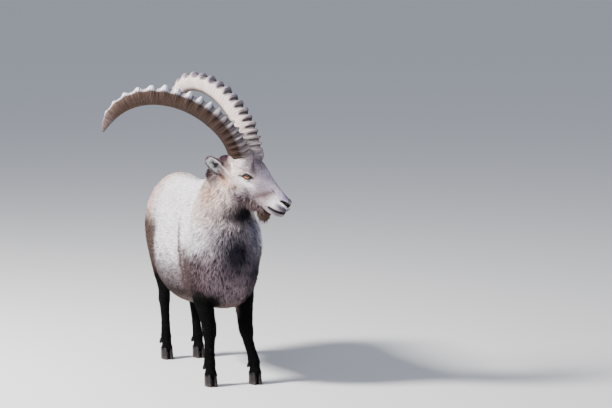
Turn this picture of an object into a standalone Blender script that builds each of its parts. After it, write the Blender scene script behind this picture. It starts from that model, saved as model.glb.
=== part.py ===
"""Alpine ibex, an adult male standing square with the head turned to its left.

Metres, +Z up. The animal faces -Y, and its left side is +X. The flesh is made of lofts that are fused
into one closed form, thinned to few faces and then parted with cutters into head, neck, torso, tail and
legs. Horns, ears, eyes, claws and dewclaws are solids of their own, trimmed to what they grow from.
"""

import math

import bpy
import numpy as np
from mathutils import Matrix, Vector

# Driving dimensions
WITHERS_HEIGHT = 0.835
CROUP_HEIGHT = 0.797
TOUCH_GAP = 0.0003
RIGHT_HORN_LENGTH = 0.73
LEFT_HORN_LENGTH = 0.705
HORN_BASE_HALF_SPREAD = 0.042
HORN_BASE_DEPTH = 0.104
HORN_BASE_WIDTH = 0.080
EAR_LENGTH = 0.108
EAR_WIDTH = 0.054
EYE_RADIUS = 0.0185
TAIL_LENGTH = 0.15
CORONET_HEIGHT = 0.044
BEARD_LENGTH = 0.05

# Head carriage: turned to the left, pitched down, and tilted with the left side up
HEAD_TURN = math.radians(42.5)
HEAD_PITCH = math.radians(35.0)
HEAD_TILT = math.radians(8.0)
HORN_ROOT = Vector((0.037, -0.47, 0.94))

# Fineness of the fused forms
BODY_VOXEL = 0.009
HEAD_VOXEL = 0.0036
BODY_TRIANGLES = 4500
HEAD_TRIANGLES = 1900

LEFT, RIGHT = 1, -1
SIDES = (("left", LEFT), ("right", RIGHT))
FAR = 2.0


def clear_scene():
    for old in list(bpy.data.objects):
        bpy.data.objects.remove(old)


def material(name, colour, roughness):
    """A Principled material with one colour."""
    made = bpy.data.materials.new(name)
    made.use_nodes = True
    shader = made.node_tree.nodes["Principled BSDF"]
    shader.inputs["Base Color"].default_value = (*colour, 1.0)
    shader.inputs["Roughness"].default_value = roughness
    made.diffuse_color = (*colour, 1.0)
    return made


def mesh_object(name, points, faces, finish=None):
    mesh = bpy.data.meshes.new(name)
    mesh.from_pydata([tuple(p) for p in points], [], [tuple(f) for f in faces])
    mesh.validate()
    made = bpy.data.objects.new(name, mesh)
    bpy.context.scene.collection.objects.link(made)
    if finish:
        mesh.materials.append(finish)
    return made


def eased(rows, count):
    """Rows of numbers, the first rising or falling, filled in by a cubic that never overshoots its rows."""
    rows = np.asarray(rows, float)
    along, values = rows[:, 0], rows[:, 1:]
    step = np.diff(along)[:, None]
    slope = np.diff(values, axis=0) / step
    tangent = np.zeros_like(values)
    same = slope[:-1] * slope[1:] > 0
    total = slope[:-1] + slope[1:]
    tangent[1:-1] = np.where(same, 2 * slope[:-1] * slope[1:] / np.where(same, total, 1.0), 0.0)
    tangent[0], tangent[-1] = slope[0], slope[-1]
    at = np.linspace(along[0], along[-1], count)
    order = np.sign(along[-1] - along[0])
    i = np.clip(np.searchsorted(along * order, at * order, side="right") - 1, 0, len(along) - 2)
    t = ((at - along[i]) / (along[i + 1] - along[i]))[:, None]
    width = step[i]
    filled = (
        (2 * t**3 - 3 * t**2 + 1) * values[i]
        + (t**3 - 2 * t**2 + t) * width * tangent[i]
        + (3 * t**2 - 2 * t**3) * values[i + 1]
        + (t**3 - t**2) * width * tangent[i + 1]
    )
    return np.column_stack([at, filled])


def oval(half_width, above, below, power_above, power_below, count):
    """A closed outline, (side, up): a superellipse whose upper and lower halves differ."""
    turn = np.linspace(0, 2 * np.pi, count, endpoint=False)
    c, s = np.cos(turn), np.sin(turn)
    power = np.where(s >= 0, power_above, power_below)
    tall = np.where(s >= 0, above, below)
    side = half_width * np.sign(c) * np.abs(c) ** (2 / power)
    up = tall * np.sign(s) * np.abs(s) ** (2 / power)
    return np.column_stack([side, up])


def lofted(name, rings, finish=None):
    """A closed skin over rings of equal count, with a fan over each end. Faces are turned outwards."""
    rings = np.asarray(rings)
    rows, count = rings.shape[:2]
    points = [*rings.reshape(-1, 3), rings[0].mean(0), rings[-1].mean(0)]
    faces = []
    for r in range(rows - 1):
        for k in range(count):
            n = (k + 1) % count
            faces.append((r * count + k, r * count + n, (r + 1) * count + n, (r + 1) * count + k))
    first, last = rows * count, rows * count + 1
    for k in range(count):
        n = (k + 1) % count
        faces.append((first, n, k))
        faces.append((last, (rows - 1) * count + k, (rows - 1) * count + n))
    made = mesh_object(name, points, faces, finish)
    face_outwards(made)
    return made


def signed_volume(mesh):
    mesh.calc_loop_triangles()
    points = np.empty(len(mesh.vertices) * 3)
    mesh.vertices.foreach_get("co", points)
    corners = np.empty(len(mesh.loop_triangles) * 3, np.int32)
    mesh.loop_triangles.foreach_get("vertices", corners)
    return np.linalg.det(points.reshape(-1, 3)[corners.reshape(-1, 3)]).sum() / 6


def face_outwards(obj):
    if signed_volume(obj.data) < 0:
        obj.data.flip_normals()


def settle(obj):
    """Replaces the object's mesh with what its modifiers make, and clears them."""
    graph = bpy.context.evaluated_depsgraph_get()
    made = bpy.data.meshes.new_from_object(obj.evaluated_get(graph))
    old = obj.data
    obj.modifiers.clear()
    obj.data = made
    bpy.data.meshes.remove(old)
    return obj


def fused(name, pieces, voxel, smoothing, triangles):
    """One closed form over overlapping lofts: remeshed, smoothed and thinned to about so many triangles."""
    points, faces = [], []
    for piece in pieces:
        start = len(points)
        points += [tuple(v.co) for v in piece.data.vertices]
        faces += [tuple(start + i for i in f.vertices) for f in piece.data.polygons]
    made = mesh_object(name, points, faces)
    remesh = made.modifiers.new("fuse", "REMESH")
    remesh.mode = "VOXEL"
    remesh.voxel_size = voxel
    smooth = made.modifiers.new("smooth", "SMOOTH")
    smooth.factor = 0.5
    smooth.iterations = smoothing
    settle(made)
    thin = made.modifiers.new("thin", "DECIMATE")
    thin.ratio = triangles / (2 * len(made.data.polygons))
    thin.use_collapse_triangulate = True
    return settle(made)


def drop(*objects):
    for obj in objects:
        bpy.data.objects.remove(obj)


def duplicate(obj, name):
    made = bpy.data.objects.new(name, obj.data.copy())
    bpy.context.scene.collection.objects.link(made)
    return made


def grown(obj, gap):
    """A copy whose points stand out along their normals by the gap."""
    made = duplicate(obj, obj.name + "_grown")
    normals = [Vector(v.normal) for v in made.data.vertices]
    for vertex, normal in zip(made.data.vertices, normals):
        vertex.co += normal * gap
    return made


def combine(obj, other, operation):
    """Applies one Boolean with another mesh object, which stays."""
    cut = obj.modifiers.new("combine", "BOOLEAN")
    cut.operation = operation
    cut.object = other
    cut.solver = "EXACT"
    return settle(obj)


def united(obj, pieces):
    """Applies one Boolean union with a collection of closed pieces, which are then removed."""
    group = bpy.data.collections.new(obj.name + "_pieces")
    bpy.context.scene.collection.children.link(group)
    for piece in pieces:
        bpy.context.scene.collection.objects.unlink(piece)
        group.objects.link(piece)
    join = obj.modifiers.new("join", "BOOLEAN")
    join.operation = "UNION"
    join.operand_type = "COLLECTION"
    join.collection = group
    join.solver = "EXACT"
    settle(obj)
    drop(*pieces)
    bpy.data.collections.remove(group)
    return obj


def keep_largest(obj):
    """Keeps the object's largest closed surface, by volume."""
    mesh = obj.data
    owner = list(range(len(mesh.vertices)))

    def root(i):
        while owner[i] != i:
            owner[i] = owner[owner[i]]
            i = owner[i]
        return i

    for edge in mesh.edges:
        a, b = (root(i) for i in edge.vertices)
        owner[a] = b
    shells = {}
    for face in mesh.polygons:
        shells.setdefault(root(face.vertices[0]), []).append(face)
    if len(shells) == 1:
        return obj

    def volume(faces):
        total = 0.0
        for face in faces:
            corners = [mesh.vertices[i].co for i in face.vertices]
            for k in range(1, len(corners) - 1):
                total += corners[0].dot(corners[k].cross(corners[k + 1]))
        return total

    best = max(shells.values(), key=volume)
    used = sorted({i for face in best for i in face.vertices})
    place = {old: new for new, old in enumerate(used)}
    points = [tuple(mesh.vertices[i].co) for i in used]
    faces = [tuple(place[i] for i in face.vertices) for face in best]
    made = bpy.data.meshes.new(obj.name)
    made.from_pydata(points, [], faces)
    obj.data = made
    bpy.data.meshes.remove(mesh)
    return obj


def half_space(name, point, normal):
    """A big block on the side of a plane that its normal points to."""
    axis = Vector(normal).normalized()
    turn = axis.to_track_quat("Z", "Y").to_matrix()
    corners = [(x, y, z) for z in (0, FAR) for x, y in ((-1, -1), (1, -1), (1, 1), (-1, 1))]
    points = [Vector(point) + turn @ Vector((x * FAR, y * FAR, z)) for x, y, z in corners]
    faces = [(3, 2, 1, 0), (4, 5, 6, 7), (0, 1, 5, 4), (1, 2, 6, 5), (2, 3, 7, 6), (3, 0, 4, 7)]
    made = mesh_object(name, points, faces)
    face_outwards(made)
    return made


def egg(name, centre, axes, sizes, rows=12, count=16):
    """A closed ellipsoid by its centre, its three directions and its three half sizes."""
    rings = []
    for r in range(1, rows):
        polar = math.pi * r / rows
        rings.append([
            centre
            + axes[0] * (sizes[0] * math.cos(polar))
            + axes[1] * (sizes[1] * math.sin(polar) * math.cos(turn))
            + axes[2] * (sizes[2] * math.sin(polar) * math.sin(turn))
            for turn in np.linspace(0, 2 * math.pi, count, endpoint=False)
        ])
    return lofted(name, rings)


def ball(name, centre, radius, finish=None, rows=10, count=16):
    axes = (Vector((0, 0, 1)), Vector((1, 0, 0)), Vector((0, 1, 0)))
    made = egg(name, centre, axes, (radius, radius, radius), rows, count)
    if finish:
        made.data.materials.append(finish)
    return made


def domed_post(name, centre, radii, shoulder, dome, spread):
    """An upright oval post from below the floor to a shoulder height, with a dome on top."""
    levels = [(-0.1, 1.0), (shoulder, 1.0)]
    levels += [(shoulder + (dome + spread) * math.sin(t), math.cos(t)) for t in np.radians((20, 40, 60, 78))]
    rings = []
    for height, size in levels:
        rings.append([
            (centre[0] + (radii[0] + spread) * size * math.cos(turn),
             centre[1] + (radii[1] + spread) * size * math.sin(turn), height)
            for turn in np.linspace(0, 2 * math.pi, 24, endpoint=False)
        ])
    return lofted(name, rings)


def cut_off(rest, name, shape):
    """Parts what lies inside a cutter, and leaves a gap. The shape makes the cutter with a given spread."""
    taken = duplicate(rest, name)
    for obj, spread, operation in ((taken, 0.0, "INTERSECT"), (rest, TOUCH_GAP, "DIFFERENCE")):
        cutter = shape(spread)
        combine(obj, cutter, operation)
        drop(cutter)
    keep_largest(rest)
    return keep_largest(taken)


def below(height):
    """A cutter for all that is under a height."""
    return lambda spread: half_space("cutter", (0, 0, height - TOUCH_GAP + spread), (0, 0, -1))


# Trunk: sections across the body from the brisket to the buttocks
TRUNK = (
    # along Y, sideways, height of the widest line, half width, top, bottom, power above, power below
    (-0.500, -0.010, 0.530, 0.030, 0.580, 0.480, 2.0, 2.0),
    (-0.480, -0.010, 0.520, 0.070, 0.635, 0.425, 2.0, 2.0),
    (-0.435, -0.008, 0.500, 0.107, 0.720, 0.352, 2.0, 2.1),
    (-0.370, -0.004, 0.490, 0.128, 0.785, 0.312, 1.9, 2.2),
    (-0.280, -0.002, 0.490, 0.138, WITHERS_HEIGHT, 0.296, 1.8, 2.2),
    (-0.170, 0.000, 0.480, 0.136, 0.820, 0.287, 1.8, 2.2),
    (-0.080, 0.000, 0.480, 0.152, 0.806, 0.284, 1.9, 2.2),
    (0.020, 0.000, 0.485, 0.164, 0.795, 0.272, 1.9, 2.2),
    (0.130, 0.000, 0.495, 0.169, 0.788, 0.268, 1.9, 2.2),
    (0.250, 0.000, 0.510, 0.164, 0.792, 0.296, 2.0, 2.2),
    (0.360, 0.000, 0.570, 0.146, CROUP_HEIGHT, 0.390, 2.1, 2.1),
    (0.450, 0.000, 0.610, 0.122, 0.775, 0.465, 2.1, 2.0),
    (0.515, 0.000, 0.630, 0.088, 0.740, 0.525, 2.0, 2.0),
    (0.545, 0.000, 0.640, 0.048, 0.700, 0.585, 2.0, 2.0),
)


def trunk():
    rings = []
    for y, x, wide, half, top, bottom, above, below in eased(TRUNK, 44):
        outline = oval(half, top - wide, wide - bottom, above, below, 40)
        rings.append([(x + side, y, wide + up) for side, up in outline])
    return lofted("trunk", rings)


# Neck: an oval carried along a path that bends from the withers to the back of the skull
NECK_BASE = Vector((-0.008, -0.265, 0.615))
NECK_MIDDLE = Vector((-0.028, -0.372, 0.745))
NECK_HEAD_END = Vector((0.012, -0.437, 0.828))
NECK = (
    # share of the path, half width, reach towards the nape, reach towards the throat
    (0.00, 0.128, 0.215, 0.200),
    (0.30, 0.115, 0.182, 0.155),
    (0.60, 0.090, 0.145, 0.116),
    (0.85, 0.067, 0.112, 0.092),
    (1.00, 0.050, 0.088, 0.076),
)


def bezier(a, b, c, share):
    """Point and direction on a path from a to c that bends towards b."""
    place = a * (1 - share) ** 2 + b * 2 * share * (1 - share) + c * share**2
    heading = (b - a) * (1 - share) + (c - b) * share
    return place, heading.normalized()


NECK_BALL = Vector((0.020, -0.455, 0.815))
NECK_BALL_RADIUS = 0.205


def neck():
    rings = []
    for share, half, nape, throat in eased(NECK, 20):
        place, heading = bezier(NECK_BASE, NECK_MIDDLE, NECK_HEAD_END, share)
        side = heading.cross(Vector((0, 0, 1))).normalized()
        up = side.cross(heading)
        outline = oval(half, nape, throat, 2.0, 2.0, 36)
        rings.append([place + side * s + up * u for s, u in outline])
    return lofted("neck_loft", rings)


# Head frame: along the heading, to the left, and up, with the tilt about the heading
HEADING = Vector((math.sin(HEAD_TURN), -math.cos(HEAD_TURN), 0))
LEVEL_LEFT = Vector((math.cos(HEAD_TURN), math.sin(HEAD_TURN), 0))
HEAD_LEFT = LEVEL_LEFT * math.cos(HEAD_TILT) + Vector((0, 0, math.sin(HEAD_TILT)))
HEAD_UP = Vector((0, 0, math.cos(HEAD_TILT))) - LEVEL_LEFT * math.sin(HEAD_TILT)
FACE_AXIS = HEADING * math.cos(HEAD_PITCH) - HEAD_UP * math.sin(HEAD_PITCH)
FACE_UP = HEADING * math.sin(HEAD_PITCH) + HEAD_UP * math.cos(HEAD_PITCH)


def on_face(along, side, up):
    """A point by its distances along the face from the horn roots, to the left, and square to the face."""
    return HORN_ROOT + FACE_AXIS * along + HEAD_LEFT * side + FACE_UP * up


# Skull and muzzle: sections square to the face axis
HEAD = (
    # along the face, height of the widest line, half width, top, bottom, power above, power below
    (-0.095, -0.130, 0.046, -0.094, -0.178, 2.0, 2.0),
    (-0.050, -0.110, 0.062, -0.052, -0.180, 2.0, 2.0),
    (0.000, -0.075, 0.064, -0.014, -0.176, 2.2, 1.9),
    (0.035, -0.062, 0.062, 0.006, -0.170, 2.3, 1.8),
    (0.070, -0.058, 0.058, 0.008, -0.164, 2.3, 1.8),
    (0.110, -0.062, 0.050, -0.001, -0.163, 2.1, 1.8),
    (0.155, -0.078, 0.040, -0.016, -0.160, 1.9, 1.9),
    (0.200, -0.088, 0.034, -0.029, -0.152, 1.9, 2.0),
    (0.235, -0.090, 0.032, -0.038, -0.142, 2.0, 2.1),
    (0.258, -0.088, 0.028, -0.044, -0.128, 2.1, 2.2),
    (0.272, -0.084, 0.018, -0.056, -0.108, 2.0, 2.0),
)


def skull():
    rings = []
    for along, wide, half, top, bottom, above, below in eased(HEAD, 48):
        outline = oval(half, top - wide, wide - bottom, above, below, 32)
        rings.append([on_face(along, side, wide + up) for side, up in outline])
    return lofted("skull", rings)


FACE_AXES = (FACE_AXIS, HEAD_LEFT, FACE_UP)
EYE_PLACE = (0.071, 0.0425, -0.054)
EYE_OPENING = (0.0172, 0.0088)
BROW_PLACE = (0.066, 0.043, -0.036)
PEDICLES = (
    # distance to the side and up from the horn roots, and half sizes upwards, sideways and along the heading
    (0.037, -0.018, (0.055, 0.0445, 0.056)),
    (0.033, -0.050, (0.050, 0.0400, 0.054)),
)


def face_bulges():
    """Eye sockets, brows, cheeks, nostril wings, lips, chin and the roots of the horns, on both sides."""
    made = []
    for name, side in SIDES:
        for part, (along, out, up), sizes in (
            ("socket", (0.071, 0.036, -0.054), (0.032, 0.0245, 0.028)),
            ("brow", BROW_PLACE, (0.027, 0.020, 0.016)),
            ("cheek", (0.044, 0.036, -0.128), (0.068, 0.030, 0.052)),
            ("temple", (-0.004, 0.034, -0.072), (0.070, 0.033, 0.044)),
            ("cheekbone", (0.105, 0.030, -0.080), (0.045, 0.019, 0.018)),
            ("nostril_wing", (0.256, 0.013, -0.060), (0.018, 0.012, 0.016)),
            ("upper_lip", (0.246, 0.014, -0.086), (0.030, 0.017, 0.017)),
        ):
            made.append(egg(f"{part}_{name}", on_face(along, out * side, up), FACE_AXES, sizes))
        for out, up, sizes in PEDICLES:
            collar = HORN_ROOT + HEAD_LEFT * (side * out) + HEAD_UP * up - HEADING * 0.003
            made.append(egg(f"pedicle_{name}", collar, (HEAD_UP, HEAD_LEFT, HEADING), sizes))
    made.append(egg("lower_lip", on_face(0.247, 0, -0.117), FACE_AXES, (0.026, 0.021, 0.018)))
    made.append(egg("chin", on_face(0.236, 0, -0.128), FACE_AXES, (0.024, 0.019, 0.014)))
    return made


# Legs: level sections, (height, side, along Y, half width, reach forwards, reach backwards)
FORELEG = (
    (0.700, 0.080, -0.270, 0.040, 0.070, 0.090),
    (0.620, 0.096, -0.300, 0.046, 0.090, 0.135),
    (0.540, 0.102, -0.315, 0.050, 0.095, 0.165),
    (0.460, 0.101, -0.300, 0.049, 0.085, 0.145),
    (0.390, 0.098, -0.292, 0.045, 0.066, 0.095),
    (0.325, 0.092, -0.312, 0.040, 0.048, 0.052),
    (0.270, 0.088, -0.338, 0.032, 0.036, 0.035),
    (0.235, 0.084, -0.352, 0.0300, 0.033, 0.029),
    (0.205, 0.084, -0.360, 0.0285, 0.031, 0.028),
    (0.180, 0.085, -0.366, 0.0230, 0.024, 0.024),
    (0.140, 0.089, -0.379, 0.0210, 0.022, 0.022),
    (0.110, 0.092, -0.390, 0.0225, 0.023, 0.024),
    (0.092, 0.093, -0.397, 0.0245, 0.025, 0.026),
    (0.070, 0.093, -0.405, 0.0220, 0.024, 0.022),
    (0.046, 0.093, -0.412, 0.0260, 0.031, 0.025),
    (0.020, 0.093, -0.416, 0.0240, 0.030, 0.022),
)
HINDLEG = (
    (0.730, 0.064, 0.370, 0.045, 0.090, 0.090),
    (0.650, 0.076, 0.375, 0.060, 0.135, 0.145),
    (0.580, 0.086, 0.365, 0.062, 0.145, 0.150),
    (0.500, 0.094, 0.335, 0.058, 0.125, 0.130),
    (0.430, 0.096, 0.310, 0.050, 0.095, 0.100),
    (0.370, 0.088, 0.330, 0.039, 0.065, 0.072),
    (0.320, 0.076, 0.362, 0.029, 0.042, 0.048),
    (0.285, 0.068, 0.385, 0.0250, 0.033, 0.038),
    (0.255, 0.066, 0.392, 0.0255, 0.032, 0.034),
    (0.220, 0.066, 0.386, 0.0215, 0.027, 0.026),
    (0.170, 0.067, 0.372, 0.0190, 0.022, 0.022),
    (0.120, 0.069, 0.358, 0.0205, 0.023, 0.023),
    (0.095, 0.070, 0.351, 0.0235, 0.025, 0.026),
    (0.070, 0.070, 0.344, 0.0215, 0.024, 0.022),
    (0.046, 0.070, 0.338, 0.0255, 0.030, 0.025),
    (0.020, 0.070, 0.334, 0.0235, 0.029, 0.022),
)
LEGS = (("foreleg", FORELEG), ("hindleg", HINDLEG))

# The left foreleg stands further in than the right one: heights, and distances inwards
SWAY_HEIGHTS = (0.090, 0.200, 0.320, 0.450, 0.600)
SWAY_INWARDS = (0.000, 0.011, 0.018, 0.013, 0.000)


def leg(name, rows, side):
    rings = []
    for height, out, along, half, front, back in eased(rows, 60):
        if rows is FORELEG and side == LEFT:
            out -= np.interp(height, SWAY_HEIGHTS, SWAY_INWARDS)
        outline = oval(half, back, front, 2.0, 2.0, 24)
        rings.append([(out * side + s, along + f, height) for s, f in outline])
    return lofted(name, rings)


# Tail: hangs from the end of the croup
TAIL_ROOT = Vector((0.0, 0.500, 0.715))
TAIL = (
    # share of the length, half width, half thickness
    (0.00, 0.026, 0.022),
    (0.25, 0.024, 0.018),
    (0.60, 0.021, 0.014),
    (0.85, 0.013, 0.009),
    (1.00, 0.003, 0.003),
)


def tail_place(share):
    """The tail leaves the croup backwards and bends down."""
    angle = math.radians(25 + 55 * min(1.0, share * 1.6))
    mean = math.radians(25) + (angle - math.radians(25)) / 2
    return TAIL_ROOT + Vector((0, math.cos(mean), -math.sin(mean))) * TAIL_LENGTH * share, angle


def tail_loft():
    rings = []
    for share, half, thick in eased(TAIL, 16):
        place, angle = tail_place(share)
        up = Vector((0, math.sin(angle), math.cos(angle)))
        outline = oval(half, thick, thick, 2.0, 2.0, 16)
        rings.append([place + Vector((1, 0, 0)) * s + up * u for s, u in outline])
    return lofted("tail", rings)


def horn_path(side, length, count):
    """Points and directions of a horn's core: the climb turns back and over, and the splay changes along it."""
    share = np.linspace(0, 1, count)
    climb = np.radians(85 - 205 * share + 250 * share**2 - 221 * share**3)
    splay = np.radians(10 + 23 * share - 9 * share**2)
    back, out, up = np.cos(splay) * np.cos(climb), np.sin(splay), np.cos(splay) * np.sin(climb)
    turn = np.array([[*-HEADING], [*(HEAD_LEFT * side)], [*HEAD_UP]])
    heading = np.column_stack([back, out, up]) @ turn
    step = (heading[1:] + heading[:-1]) / 2 * (length / (count - 1))
    start = np.array(HORN_ROOT + HEAD_LEFT * (side * HORN_BASE_HALF_SPREAD))
    places = start + np.vstack([np.zeros(3), np.cumsum(step, axis=0)])
    return places, heading


# Horn sections: share of the length, half depth and half width, as shares of those at the root
HORN_TAPER = (
    (0.00, 1.00, 1.00),
    (0.15, 0.90, 0.88),
    (0.40, 0.78, 0.73),
    (0.65, 0.68, 0.60),
    (0.82, 0.55, 0.48),
    (0.92, 0.38, 0.35),
    (0.97, 0.24, 0.22),
    (1.00, 0.06, 0.07),
)
HORN_KEEL = 0.009
KNOB_HEIGHT = 0.016
FIRST_KNOB = -0.020


def knob_places(length):
    """Distances of the knobs along the horn: close at the root, and widest apart at two thirds of its length."""
    places = []
    at = FIRST_KNOB
    while at < length * 0.91:
        places.append(at)
        share = max(0.0, at / length)
        opened = math.sin(math.pi / 2 * min(1.0, share / 0.65)) ** 1.2
        at += (0.021 + 0.031 * opened) * (1 - 1.2 * max(0.0, share - 0.72))
    return places


def horn(name, side, length, finish, count=10):
    """A three-sided oval carried along the horn's path, with a knob across its front face at each ring."""
    knobs = knob_places(length)
    stops = [-0.040, -0.032]
    for i, at in enumerate(knobs):
        gap = (knobs[i + 1] if i + 1 < len(knobs) else at + 0.04) - at
        stops += [at - 0.14 * gap, at + 0.13 * gap, at + 0.48 * gap]
    lifts = [0.0, 0.0] + [1.0, 0.95, 0.0] * len(knobs)
    stops += [length * 0.985, length]
    lifts += [0.0, 0.0]
    places, headings = horn_path(side, length, 200)
    taper = eased(HORN_TAPER, 200)
    shares = np.linspace(0, 1, 200)
    rings = []
    for stop, lift in zip(stops, lifts):
        share = np.clip(stop / length, 0, 1)
        place = np.array([np.interp(share, shares, places[:, i]) for i in range(3)])
        heading = Vector([np.interp(share, shares, headings[:, i]) for i in range(3)]).normalized()
        place = Vector(place) + heading * min(stop, 0.0)
        deep = np.interp(share, shares, taper[:, 1]) * HORN_BASE_DEPTH / 2
        wide = np.interp(share, shares, taper[:, 2]) * HORN_BASE_WIDTH / 2
        keel = HORN_KEEL * np.interp(share, (0.0, 0.25, 0.92, 1.0), (0.0, 1.0, 0.9, 0.1))
        across = (HEAD_LEFT * side - heading * heading.dot(HEAD_LEFT * side)).normalized()
        front = across.cross(heading) * side
        fade = np.interp(share, (0.0, 0.06, 0.6, 0.95), (0.7, 1.0, 0.95, 0.2))
        ring = []
        for turn in np.linspace(0, 2 * math.pi, count, endpoint=False):
            c, s = math.cos(turn), math.sin(turn)
            narrow = 1.0 - 0.30 * max(0.0, -c)
            sunk = KNOB_HEIGHT * fade * (1 - lift) * max(0.0, c) ** 1.2
            reach = (deep + keel * max(0.0, -c)) * np.sign(c) * abs(c) ** 0.85 - sunk
            ring.append(place + front * reach + across * (wide * s * narrow))
        rings.append(ring)
    return lofted(name, rings, finish)


def ear(name, side, finish, rows=9, count=11):
    """A cupped leaf with a thick rim: the outer face, then the inner face, closed round the edge."""
    root = on_face(-0.022, 0.047 * side, -0.110)
    axis = (HEADING * -0.34 + HEAD_LEFT * (0.60 * side) + HEAD_UP * 0.72).normalized()
    facing = (HEADING * 0.55 + HEAD_LEFT * (0.80 * side) - HEAD_UP * 0.25)
    facing = (facing - axis * facing.dot(axis)).normalized()
    across = axis.cross(facing)
    outer, inner = [], []
    for r in range(rows):
        share = r / (rows - 1)
        wide = EAR_WIDTH / 2 * (0.36 + 0.64 * math.sin(math.pi / 2 * min(1.0, share / 0.5)) ** 1.3)
        wide *= math.sqrt(max(0.004, 1 - max(0.0, (share - 0.5) / 0.5) ** 2.0))
        cup = 0.75 - 0.30 * share
        wall = 0.0035 + 0.004 * (1 - share)
        centre = root + axis * (EAR_LENGTH * (share - 0.12)) - facing * (0.010 * share**2)
        out_ring, in_ring = [], []
        for k in range(count):
            angle = math.pi * (-1 + 2 * k / (count - 1)) * 0.55 * (1.25 - 0.5 * share)
            reach = Vector(across * (wide * math.sin(angle))) - facing * (wide * cup * math.cos(angle))
            inward = -reach.normalized() if k not in (0, count - 1) else -reach.normalized() * 0.2
            out_ring.append(centre + reach)
            in_ring.append(centre + reach + inward * wall)
        outer.append(out_ring)
        inner.append(in_ring)
    rings = [o + i[::-1] for o, i in zip(outer, inner)]
    return lofted(name, rings, finish)


def lock(name, root, along, lie, length, width, thickness, bend):
    """A flat, tapered lock of hair: a diamond section that narrows to a tip and bends towards its lie."""
    across = along.cross(lie).normalized()
    face = across.cross(along).normalized()
    rings = []
    place, heading = root - along * (length * 0.18), along.copy()
    steps = ((0.0, 0.75), (0.22, 1.0), (0.55, 0.85), (0.82, 0.5), (1.0, 0.12))
    last = 0.0
    for share, size in steps:
        place = place + heading * (length * 1.18 * (share - last))
        last = share
        heading = (along + lie * (bend * share)).normalized()
        rings.append([
            place + across * (width / 2 * size),
            place + face * (thickness / 2 * size),
            place - across * (width / 2 * size),
            place - face * (thickness / 2 * size),
        ])
    return lofted(name, rings)


def beard_locks():
    """Short locks under the chin, longest in the middle, hanging down and slightly forwards."""
    draw = np.random.default_rng(7)
    made = []
    down = Vector((0, 0, -1))
    for row in range(3):
        for column in range(5):
            side = (column - 2) * 0.0075
            along = 0.154 + row * 0.018
            up = -0.152 + 0.05 * abs(side) - 0.0006 * row
            size = 1.0 - 0.22 * abs(column - 2) / 2 - 0.10 * abs(row - 1)
            root = on_face(along, side, up)
            heading = (down + HEADING * draw.uniform(-0.10, 0.25) + HEAD_LEFT * (side * 14)).normalized()
            made.append(lock(
                f"beard_{row}_{column}", root, heading, HEADING, BEARD_LENGTH * size * draw.uniform(0.85, 1.05),
                0.0125, 0.0085, draw.uniform(-0.3, 0.3),
            ))
    return made


def eye_axes(side):
    """Directions of an eye: along its gaze, along its opening, and square to both."""
    gaze = (HEADING * 0.34 + HEAD_LEFT * (0.93 * side) + HEAD_UP * 0.06).normalized()
    level = HEADING * 0.96 - HEAD_UP * 0.20
    level = (level - gaze * gaze.dot(level)).normalized()
    upright = level.cross(gaze) * side
    if upright.dot(HEAD_UP) < 0:
        upright = -upright
    return gaze, level, upright


def eye_centre(side):
    return on_face(EYE_PLACE[0], EYE_PLACE[1] * side, EYE_PLACE[2])


def lids(side):
    """The two lids of an eye: a ridge that lies on the ball round the almond-shaped opening."""
    gaze, level, upright = eye_axes(side)
    rings = []
    for turn in np.linspace(0, 2 * math.pi, 18, endpoint=False):
        c, s = math.cos(turn), math.sin(turn)
        spread = level * (EYE_OPENING[0] * c) + upright * (EYE_OPENING[1] * np.sign(s) * abs(s) ** 1.25)
        depth = math.sqrt(max(0.0, EYE_RADIUS**2 - spread.length_squared)) + 0.0008
        spot = eye_centre(side) + spread + gaze * depth
        radial = (level * (EYE_OPENING[1] * c) + upright * (EYE_OPENING[0] * s)).normalized()
        thick = 0.0032 if s > 0.1 else 0.0024
        spot += radial * (thick * 0.8)
        rings.append([spot + radial * (thick * math.cos(a)) + gaze * (thick * math.sin(a))
                      for a in np.linspace(0, 2 * math.pi, 6, endpoint=False)])
    return rings


def eye_opening(side):
    """What is cut away between the lids, out from the ball."""
    gaze, level, upright = eye_axes(side)
    rings = []
    for reach, size in ((0.004, 0.55), (0.012, 0.95), (0.030, 1.10)):
        rings.append([
            eye_centre(side) + gaze * reach
            + level * (EYE_OPENING[0] * size * math.cos(a))
            + upright * (EYE_OPENING[1] * size * np.sign(math.sin(a)) * abs(math.sin(a)) ** 1.25)
            for a in np.linspace(0, 2 * math.pi, 16, endpoint=False)
        ])
    return lofted(f"opening_{side}", rings)


def closed_hoop(name, rings):
    """A tube whose last ring meets its first."""
    rows, count = len(rings), len(rings[0])
    points = [p for ring in rings for p in ring]
    faces = []
    for r in range(rows):
        for k in range(count):
            n, m = (k + 1) % count, (r + 1) % rows
            faces.append((r * count + k, r * count + n, m * count + n, m * count + k))
    made = mesh_object(name, points, faces)
    face_outwards(made)
    return made


def mouth_cutter():
    """The line of the mouth: a thin slot that follows the lips and leaves the jaws joined inside."""
    corner, front = (0.204, -0.1135), (0.285, -0.0935)
    heading = Vector((front[0] - corner[0], front[1] - corner[1])).normalized()
    normal = Vector((-heading.y, heading.x))
    half = 0.0012
    rings = []
    for share in np.linspace(0, 1, 7):
        along = corner[0] + (front[0] - corner[0]) * share
        up = corner[1] + (front[1] - corner[1]) * share - 0.004 * math.sin(math.pi * share)
        thick = half * (0.4 + 0.6 * min(1.0, share * 3))
        rings.append([
            on_face(along + normal.x * t, s, up + normal.y * t)
            for s, t in ((-0.05, -thick), (0.05, -thick), (0.05, thick), (-0.05, thick))
        ])
    slot = lofted("mouth_slot", rings)
    core = egg("mouth_core", on_face(0.200, 0, -0.105), FACE_AXES, (0.067, 0.0235, 0.03), 14, 24)
    combine(slot, core, "DIFFERENCE")
    drop(core)
    return slot


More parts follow.
